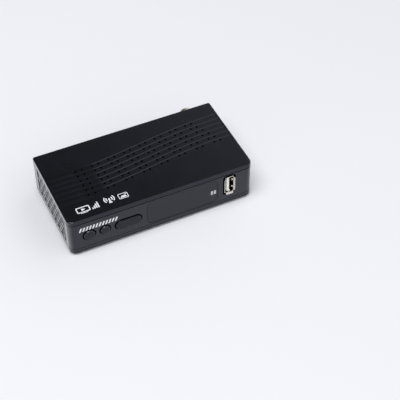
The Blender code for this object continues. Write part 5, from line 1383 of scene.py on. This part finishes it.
def dc_centre_pin():
    """The DC jack's centre pin, with a rounded nose."""
    low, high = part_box("dc_pin")
    x, z = centre_of(low, high)
    length, radius = high.y - low.y, 0.001
    profile = [(0.0, length)]
    profile += [(radius * math.sin(a), length - radius + radius * math.cos(a))
                for a in (0.3, 0.6, 0.9, 1.2, 1.57)]
    return lathe("dc pin", profile + [(radius, 0.0), (0.0, 0.0)], (x, low.y - FRONT, z), "back", 48)


def rear_plate():
    """The rear panel, with a raised frame and a softened hole for each socket."""
    low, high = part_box("rear_panel")
    left, right = low.x - LEFT, high.x - LEFT
    near, far = low.y - FRONT, high.y - FRONT
    antenna, av, dc = (ANTENNA_X, ANTENNA_Z), centre_of(AV_LOW, AV_HIGH), centre_of(DC_LOW, DC_HIGH)
    clear = Vector((0.0004, 0.0, 0.0004))
    outline = [(left, low.z), (right, low.z), (right, high.z), (left, high.z)]
    shape = panel("rear plate", [outline], near, far - 0.00022)
    hdmi_frame = round_rectangle((HDMI_X - 0.009, HDMI_LOW.z - 0.0014),
                                 (HDMI_X + 0.009, HDMI_HIGH.z + 0.0014), 0.0012)
    frames = [ring(antenna, 0.0064), hdmi_frame, ring(av, 0.0043), ring(dc, 0.0056)]
    join(shape, panel("socket frames", frames, far - 0.0007, far))
    holes = [ring(antenna, 0.00515), hdmi_loop(0.0, HDMI_LOW - clear, HDMI_HIGH + clear), ring(av, 0.0033),
             ring(dc, 0.0046)]
    for loop in holes:
        cut(shape, panel("socket hole", [loop], near - OVERRUN, far + OVERRUN))
    return round_edges(shape, lambda place: place.y > back(far) - CLOSE, 0.00012, 2)


def rubber_foot(low, high):
    """A foot with a rolled edge and three grip rings on its sole."""
    radius, height, roll = (high.x - low.x) / 2, high.z - low.z, 0.0004
    profile = [(0.0, height), (radius, height), (radius, roll)]
    profile += [(radius - roll + roll * math.cos(a), roll - roll * math.sin(a))
                for a in (0.4, 0.8, 1.2, 1.57)]
    for grip in (0.0030, 0.0021, 0.0012):
        profile += [(grip + 0.0002, 0.0), (grip + 0.0001, 0.00015), (grip - 0.0001, 0.00015),
                    (grip - 0.0002, 0.0)]
    profile.append((0.0, 0.0))
    middle = (low + high) / 2
    return lathe("foot", profile, (middle.x - LEFT, middle.y - FRONT, low.z), "up", 64)


def case_screw(low, high):
    """A pan-head screw from below, with a cross recess and a threaded shank."""
    middle = (low + high) / 2
    length = high.z - low.z
    head, head_radius, crown = 0.0011, 0.0018, 0.0007
    core, thread, pitch = 0.00062, 0.0008, 0.0005
    profile = [(0.0, length), (0.0004, length - 0.0001)]
    for turn in range(int((length - head - 0.0012) / pitch)):
        at = length - pitch - turn * pitch
        profile += [(core, at), (thread, at - 0.00018), (thread, at - 0.00024), (core, at - 0.00042)]
    profile += [(core, head), (head_radius, head)]
    profile += [(head_radius - crown * (1 - math.cos(a)), crown * (1 - math.sin(a)))
                for a in (0.0, 0.4, 0.8, 1.2, 1.57)]
    profile.append((0.0, 0.0))
    shape = lathe("screw", profile, (middle.x - LEFT, middle.y - FRONT, low.z), "up", 32)
    arm, half, tip = 0.0011, 0.00025, 0.000175
    cross = [(half, half), (tip, arm), (-tip, arm), (-half, half), (-arm, tip), (-arm, -tip),
             (-half, -half),
             (-tip, -arm), (tip, -arm), (half, -half), (arm, -tip), (arm, tip)]
    placed = [(middle.x - LEFT + x, middle.y - FRONT + y) for x, y in cross]
    return cut(shape, plate("cross recess", [placed], low.z - OVERRUN, low.z + 0.0006))


def tv_pictogram():
    """A television on its stand with a play mark in it, and four signal bars beside it."""
    x, low = 0.0125, 0.0058
    outer = round_rectangle((x - 0.0042, low), (x + 0.0042, low + 0.0046), 0.0008, 5)
    inner = round_rectangle((x - 0.0035, low + 0.0007), (x + 0.0035, low + 0.0039), 0.0004, 4)
    stand = leaning_bar(x - 0.0022, low - 0.0007, 0.0044, 0.0004, 0.0)
    play = [(x - 0.0010, low + 0.0012), (x + 0.0015, low + 0.0023), (x - 0.0010, low + 0.0034)]
    bars = [leaning_bar(0.0178 + step * 0.0012, low, 0.0008, 0.0012 + step * 0.0012, 0.0)
            for step in range(4)]
    return [outer, inner, stand, play] + bars


def aerial_pictogram():
    """A mast with waves on both sides."""
    x, low, top = 0.0294, 0.0061, 0.0088
    head, half = (x, top + 0.0006), 0.00035
    loops = [[(x - 0.0011, low), (x + 0.0011, low), (x + 0.0003, top), (x - 0.0003, top)],
             ring(head, 0.0007, 20)]
    for radius in (0.0018, 0.0031):
        for turn in (0, 180):
            loops.append(arc(head, radius + half, turn - 42, turn + 42, 10)
                         + arc(head, radius - half, turn + 42, turn - 42, 10))
    return loops


def picture_pictogram():
    """A wide frame with a dot and a hill in it."""
    x, y = 0.0380, 0.0085
    hill = [(x - 0.0022, y - 0.0013), (x + 0.0022, y - 0.0013), (x + 0.0009, y + 0.0008),
            (x + 0.0001, y - 0.0001),
            (x - 0.0007, y + 0.0005)]
    return [round_rectangle((x - 0.00305, y - 0.0022), (x + 0.00305, y + 0.0022), 0.0007, 5),
            round_rectangle((x - 0.0026, y - 0.00175), (x + 0.0026, y + 0.00175), 0.0004, 4),
            hill, ring((x + 0.0017, y + 0.0010), 0.0004, 12)]


def front_hatch():
    """A plain stripe of even leaning bars along the front's upper edge."""
    return [leaning_bar(0.0060 + step * 0.00205, 0.0186, 0.0011, 0.0030, 0.4) for step in range(12)]


def faint_marks():
    """The dim marks under the buttons: power, menu, down and up."""
    z = 0.0080
    loops = [arc((0.0135, z), 0.0007, 60, -240, 16) + arc((0.0135, z), 0.0005, -240, 60, 16),
             leaning_bar(0.0134, z + 0.0001, 0.0002, 0.0008, 0.0)]
    loops += [leaning_bar(0.0205, z - 0.0006 + row * 0.0005, 0.0018, 0.0002, 0.0) for row in range(3)]
    loops += [[(0.0320, z + 0.0005), (0.0329, z - 0.0006), (0.0338, z + 0.0005)],
              [(0.0412, z - 0.0006), (0.0430, z - 0.0006), (0.0421, z + 0.0005)]]
    return loops


def window_mark():
    """The small light mark on the window: two upright bars."""
    return [round_rectangle((0.0915, 0.0126), (0.0930, 0.0157), 0.0002, 3),
            round_rectangle((0.0935, 0.0126), (0.0950, 0.0157), 0.0002, 3)]


def chosen(context):
    """The scene's sizes and colours."""
    return context.scene.receiver_sizes, context.scene.receiver_colours


class CoverOperator(bpy.types.Operator):
    """Build the vented top cover"""
    bl_idname = "receiver.cover"
    bl_label = "Top cover"

    def execute(self, context):
        sizes, colours = chosen(context)
        finish = moulded_plastic("cover_plastic", tuple(colours.cover), COVER_LOW, COVER_HIGH)
        dress(cover_moulding(sizes), "cover_moulding", finish, ["top_cover"])
        return {'FINISHED'}


class TrayOperator(bpy.types.Operator):
    """Build the tray with its groove and floor slots"""
    bl_idname = "receiver.tray"
    bl_label = "Bottom tray"

    def execute(self, context):
        sizes, colours = chosen(context)
        low, high = TRAY_LOW, Vector((TRAY_HIGH.x, TRAY_HIGH.y, LOW_SEAM))
        finish = moulded_plastic("tray_plastic", tuple(colours.panel), low, high)
        dress(tray_moulding(sizes), "tray_moulding", finish, ["bottom_case"])
        return {'FINISHED'}


class FrontPanelOperator(bpy.types.Operator):
    """Build the front panel and its display window"""
    bl_idname = "receiver.front_panel"
    bl_label = "Front panel and window"

    def execute(self, context):
        sizes, colours = chosen(context)
        low = Vector((PANEL_LOW.x, PANEL_LOW.y, LOW_SEAM))
        high = Vector((PANEL_HIGH.x, PANEL_HIGH.y, HIGH_SEAM))
        finish = moulded_plastic("front_panel_plastic", tuple(colours.panel), low, high, wear=0.0006)
        dress(front_panel_moulding(sizes), "front_panel_moulding", finish,
              ["front_bezel"])
        pane = smoked_acrylic(tuple(colours.window))
        dress(window_pane(sizes), "window_pane", pane, ["display_window"])
        return {'FINISHED'}


class ButtonsOperator(bpy.types.Operator):
    """Build the two round buttons and the channel rocker"""
    bl_idname = "receiver.buttons"
    bl_label = "Buttons and rocker"

    def execute(self, context):
        sizes, colours = chosen(context)
        colour = tuple(colours.button)
        for body, place, hole in (("power", POWER, POWER_HOLE), ("menu", MENU, MENU_HOLE)):
            centre = (across(place[0]), place[1])
            finish = button_plastic(body + "_button_plastic", colour, centre, (hole, hole),
                                    sizes.button_gap)
            cap = round_cap(body, place, hole, sizes)
            dress(cap, body + "_cap", finish, [body + "_button"], body)
        finish = button_plastic("rocker_plastic", colour, (across(ROCKER[0]), ROCKER[1]),
                                (ROCKER_HOLE[0] / 2, ROCKER_HOLE[1] / 2), sizes.button_gap, shine=0.25)
        dress(rocker_cap(sizes), "rocker_cap", finish, ["channel_rocker"], "rocker")
        return {'FINISHED'}


class UsbPortOperator(bpy.types.Operator):
    """Build the upright USB port"""
    bl_idname = "receiver.usb_port"
    bl_label = "USB port"

    def execute(self, context):
        _, colours = chosen(context)
        # The tube whose inside the nickel darkens as painted shade
        tube = ((across(USB_X), USB_Z), USB_INSIDE, back(0.0002))
        nickel = plated_sheet("usb_nickel", tuple(colours.nickel), tube=tube)
        dress(usb_shell(), "usb_shell_sheet", nickel, ["usb_shell"])
        tongue = socket_moulding("usb_white_moulding", (0.90, 0.88, 0.83), roughness=0.38)
        dress(usb_insulator(), "usb_insulator", tongue, ["usb_tongue"])
        gold = plated_sheet("usb_gold", GOLD, roughness=0.24)
        dress(usb_contacts(), "usb_contacts", gold)
        return {'FINISHED'}


class RearOperator(bpy.types.Operator):
    """Build the rear panel and its four sockets"""
    bl_idname = "receiver.rear"
    bl_label = "Rear panel and sockets"

    def execute(self, context):
        _, colours = chosen(context)
        low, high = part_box("rear_panel")
        plastic = moulded_plastic("rear_panel_plastic", tuple(colours.panel), low, high, wear=0.0005)
        dress(rear_plate(), "rear_plate", plastic, ["rear_panel"])
        middle = (across(ANTENNA_X), ANTENNA_Z)
        nickel = turned_metal("antenna_nickel", (0.74, 0.68, 0.52), middle)
        dress(antenna_sleeve(), "antenna_sleeve", nickel, ["antenna_socket"])
        sheet = plated_sheet("hdmi_nickel", tuple(colours.nickel), roughness=0.24)
        dress(hdmi_shell(), "hdmi_shell_sheet", sheet, ["hdmi_shell"])
        black = socket_moulding("socket_black_moulding", (0.012, 0.012, 0.013))
        dress(hdmi_insulator(), "hdmi_insulator", black, ["hdmi_tongue"])
        gold = plated_sheet("hdmi_gold", GOLD, roughness=0.24)
        dress(hdmi_contacts(), "hdmi_contacts", gold)
        av = round_socket("av socket", AV_LOW, AV_HIGH, radius=0.0029, bore=0.0018, depth=0.0108,
                          block_depth=0.0116)
        dress(av, "av_socket", socket_moulding("av_moulding", (0.011, 0.011, 0.012)),
              ["av_jack"])
        dc = round_socket("dc socket", DC_LOW, DC_HIGH, radius=0.0042, bore=0.0030, depth=0.0095,
                          block_depth=0.0127)
        dress(dc, "dc_socket", socket_moulding("dc_moulding", (0.012, 0.012, 0.012)),
              ["dc_jack"])
        low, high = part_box("dc_pin")
        pin = turned_metal("dc_pin_nickel", (0.74, 0.72, 0.67),
                           ((low.x + high.x) / 2, (low.z + high.z) / 2))
        dress(dc_centre_pin(), "dc_centre_pin", pin, ["dc_pin"])
        return {'FINISHED'}


class UndersideOperator(bpy.types.Operator):
    """Build the rubber feet and the case screws"""
    bl_idname = "receiver.underside"
    bl_label = "Feet and case screws"

    def execute(self, context):
        rubber = foot_rubber()
        zinc = screw_zinc()
        for number in range(1, 5):
            foot = rubber_foot(*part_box(f"foot_{number}"))
            dress(foot, f"rubber_foot_{number}", rubber, [f"foot_{number}"])
            driven = case_screw(*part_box(f"case_screw_{number}"))
            dress(driven, f"case_screw_dressed_{number}", zinc, [f"case_screw_{number}"])
        return {'FINISHED'}


class PrintsOperator(bpy.types.Operator):
    """Print the pictograms and marks"""
    bl_idname = "receiver.prints"
    bl_label = "Prints"

    def execute(self, context):
        _, colours = chosen(context)
        ink = print_ink("white_ink", tuple(colours.ink))
        for name, loops in (("tv_print", tv_pictogram()), ("aerial_print", aerial_pictogram()),
                            ("picture_print", picture_pictogram())):
            dress(plate(name, loops, TOP - INK * 2, TOP), name, ink)
        dress(panel("front_print", front_hatch(), -INK, INK), "front_print", ink)
        dim = print_ink("dim_ink", (0.030, 0.031, 0.034))
        dress(panel("faint_marks", faint_marks(), -INK, INK), "faint_marks", dim)
        grey = print_ink("window_ink", (0.50, 0.50, 0.53))
        dress(panel("window_mark", window_mark(), WINDOW_SHY - INK, WINDOW_SHY + INK), "window_mark", grey)
        return {'FINISHED'}


class InnerPartsOperator(bpy.types.Operator):
    """Finish the boards and parts inside the case"""
    bl_idname = "receiver.inner_parts"
    bl_label = "Inner parts"

    def execute(self, context):
        _, colours = chosen(context)
        middles = []
        for name in ("capacitor_1", "capacitor_2"):
            low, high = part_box(name)
            middles.append(((low.x + high.x) / 2, (low.y + high.y) / 2))
        tin = plated_sheet("tinned_steel", (0.62, 0.62, 0.60), roughness=0.32, along=(1.0, 1.0, 0.2),
                           tarnish=(0.38, 0.37, 0.34))
        dark = socket_moulding("inner_black_moulding", (0.012, 0.012, 0.013))
        pale = socket_moulding("inner_white_moulding", (0.78, 0.77, 0.73))
        board = circuit_board(tuple(colours.board))
        resin = chip_resin()
        zinc = bpy.data.materials["screw_zinc"]
        sensor = clear_resin("sensor_resin", (0.030, 0.012, 0.040), swirl_and_edge_shade=(0.010, 0.004, 0.014),
                             roughness=0.12)
        lamp = clear_resin("lamp_resin", (0.70, 0.08, 0.06), swirl_and_edge_shade=(0.36, 0.02, 0.015), roughness=0.14)
        gold = plated_sheet("contact_gold", GOLD)
        wearers = (
            (capacitor_sleeve(middles), ("capacitor",)),
            (ferrite(), ("power_inductor",)),
            (extruded_aluminium(), ("heat_sink",)),
            (tin, ("tuner_can", "crystal")),
            (zinc, ("front_board_screw", "board_screw")),
            (board, ("front_board", "main_board")),
            (resin, ("decoder_chip", "memory_chip", "flash_chip")),
            (sensor, ("infrared_receiver",)),
            (lamp, ("standby_light",)),
            (gold, ("antenna_contact",)),
            (pale, ("antenna_insulator", "power_plunger", "menu_plunger", "channel_down_plunger",
                    "channel_up_plunger")),
            (dark,
             ("power_switch", "menu_switch", "channel_down_switch", "channel_up_switch", "display_module",
              "link_header")),
        )
        finishes = {stem: finish for finish, stems in wearers for stem in stems}
        for node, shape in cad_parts.items():
            if shape.hide_render:
                continue
            stem = node if node in finishes else node.rsplit("_", 1)[0]
            coat_node(node, finishes[stem])
        return {'FINISHED'}


def lit_from(name, power, size, place):
    """A round lamp at a place, turned to the receiver."""
    lamp = bpy.data.lights.new(name, 'AREA')
    lamp.shape = 'DISK'
    lamp.size = size
    lamp.energy = power
    holder = bpy.data.objects.new(name, lamp)
    holder.location = place
    holder.rotation_euler = (-place).to_track_quat('-Z', 'Y').to_euler()
    bpy.context.scene.collection.objects.link(holder)


def paper_floor(colour):
    """A wide paper floor, just under the feet."""
    builder = bmesh.new()
    bmesh.ops.create_grid(builder, x_segments=8, y_segments=8, size=4.0,
                          matrix=Matrix.Translation((0, 0, -0.00005)))
    floor = shape_from(builder, "floor")
    paper = Finish("floor_paper", 0.85, Specular_IOR_Level=0.2)
    fibres = paper.noise(0.0009, 3.0)
    shade = paper.mix(paper.noise(0.35, 2.0), tinted(colour, 0.985), colour)
    floor.data.materials.append(paper.surface(Base_Color=shade, Normal=paper.bumped(fibres, 0.00001)))
    return floor


def room_light(walls, ceiling):
    """A world with pale walls and a dark ceiling, and an even pale tone where the camera sees it."""
    world = bpy.data.worlds.new("room")
    world.use_nodes = True
    room = Nodes(world.node_tree)
    light = room.tree.nodes["Background"]
    x, y, z = room.axes(room.node("ShaderNodeTexCoord", output="Generated"))
    around = room.between(z - x * 0.5 + y * 0.3, 0.90, 0.45, ceiling, walls)
    seen = room.node("ShaderNodeLightPath", output="Is Camera Ray")
    strength = room.node("ShaderNodeMix", {"data_type": 'FLOAT'}, {0: seen, 2: around, 3: 0.9})
    room.tree.links.new(strength.socket, light.inputs["Strength"])
    light.inputs["Color"].default_value = (0.95, 0.96, 1.0, 1.0)
    return world


def view_camera(place, yaw, pitch, roll, focal_length):
    """A camera at a place, turned by angles in radians from looking along +Y."""
    ahead = Vector((math.sin(yaw) * math.cos(pitch), math.cos(yaw) * math.cos(pitch), -math.sin(pitch)))
    right = Vector((math.cos(yaw), -math.sin(yaw), 0.0))
    up = right.cross(ahead)
    sideways = right * math.cos(roll) + up * math.sin(roll)
    upwards = up * math.cos(roll) - right * math.sin(roll)
    view = bpy.data.cameras.new("view")
    view.sensor_width = 36.0
    view.lens = focal_length
    view.clip_start = 0.01
    camera = bpy.data.objects.new("view", view)
    turn = Matrix((sideways, upwards, -ahead)).transposed().to_4x4()
    camera.matrix_world = Matrix.Translation(place) @ turn
    bpy.context.scene.collection.objects.link(camera)
    return camera


class StageOperator(bpy.types.Operator):
    """Set the floor, the lamps, the room light and the camera"""
    bl_idname = "receiver.stage"
    bl_label = "Stage"

    def execute(self, context):
        scene = context.scene
        stage = scene.receiver_stage
        paper_floor(tuple(stage.floor))
        lit_from("key_lamp", stage.key_power, KEY_LAMP_SIZE, KEY_LAMP_PLACE)
        lit_from("front_lamp", stage.front_power, FRONT_LAMP_SIZE, FRONT_LAMP_PLACE)
        scene.world = room_light(stage.walls, stage.ceiling)
        scene.view_settings.view_transform = 'Standard'
        scene.camera = view_camera(CAMERA_PLACE, CAMERA_YAW, CAMERA_PITCH, CAMERA_ROLL, FOCAL_LENGTH)
        return {'FINISHED'}


class ReceiverPanel(bpy.types.Panel):
    """Lists the steps that build the receiver"""
    bl_idname = "RECEIVER_PT_steps"
    bl_label = "Receiver"
    bl_space_type = 'VIEW_3D'
    bl_region_type = 'UI'
    bl_category = "Receiver"

    def draw(self, context):
        for step in STEPS:
            self.layout.operator(step.bl_idname)
        for group in (context.scene.receiver_sizes, context.scene.receiver_colours,
                      context.scene.receiver_stage):
            box = self.layout.box()
            for name in group.__annotations__:
                box.prop(group, name)


STEPS = (CoverOperator, TrayOperator, FrontPanelOperator, ButtonsOperator, UsbPortOperator, RearOperator,
         UndersideOperator, PrintsOperator, InnerPartsOperator, StageOperator)
GROUPS = (CaseSizes, FinishColours, StageSettings)


def register():
    for made in GROUPS + STEPS + (ReceiverPanel,):
        bpy.utils.register_class(made)
    bpy.types.Scene.receiver_sizes = PointerProperty(type=CaseSizes)
    bpy.types.Scene.receiver_colours = PointerProperty(type=FinishColours)
    bpy.types.Scene.receiver_stage = PointerProperty(type=StageSettings)


def unregister():
    del bpy.types.Scene.receiver_stage
    del bpy.types.Scene.receiver_colours
    del bpy.types.Scene.receiver_sizes
    for made in reversed(GROUPS + STEPS + (ReceiverPanel,)):
        bpy.utils.unregister_class(made)


def main():
    """Builds every piece and the stage."""
    register()
    for step in STEPS:
        group, name = step.bl_idname.split(".")
        getattr(getattr(bpy.ops, group), name)()


if __name__ == "__main__":
    main()
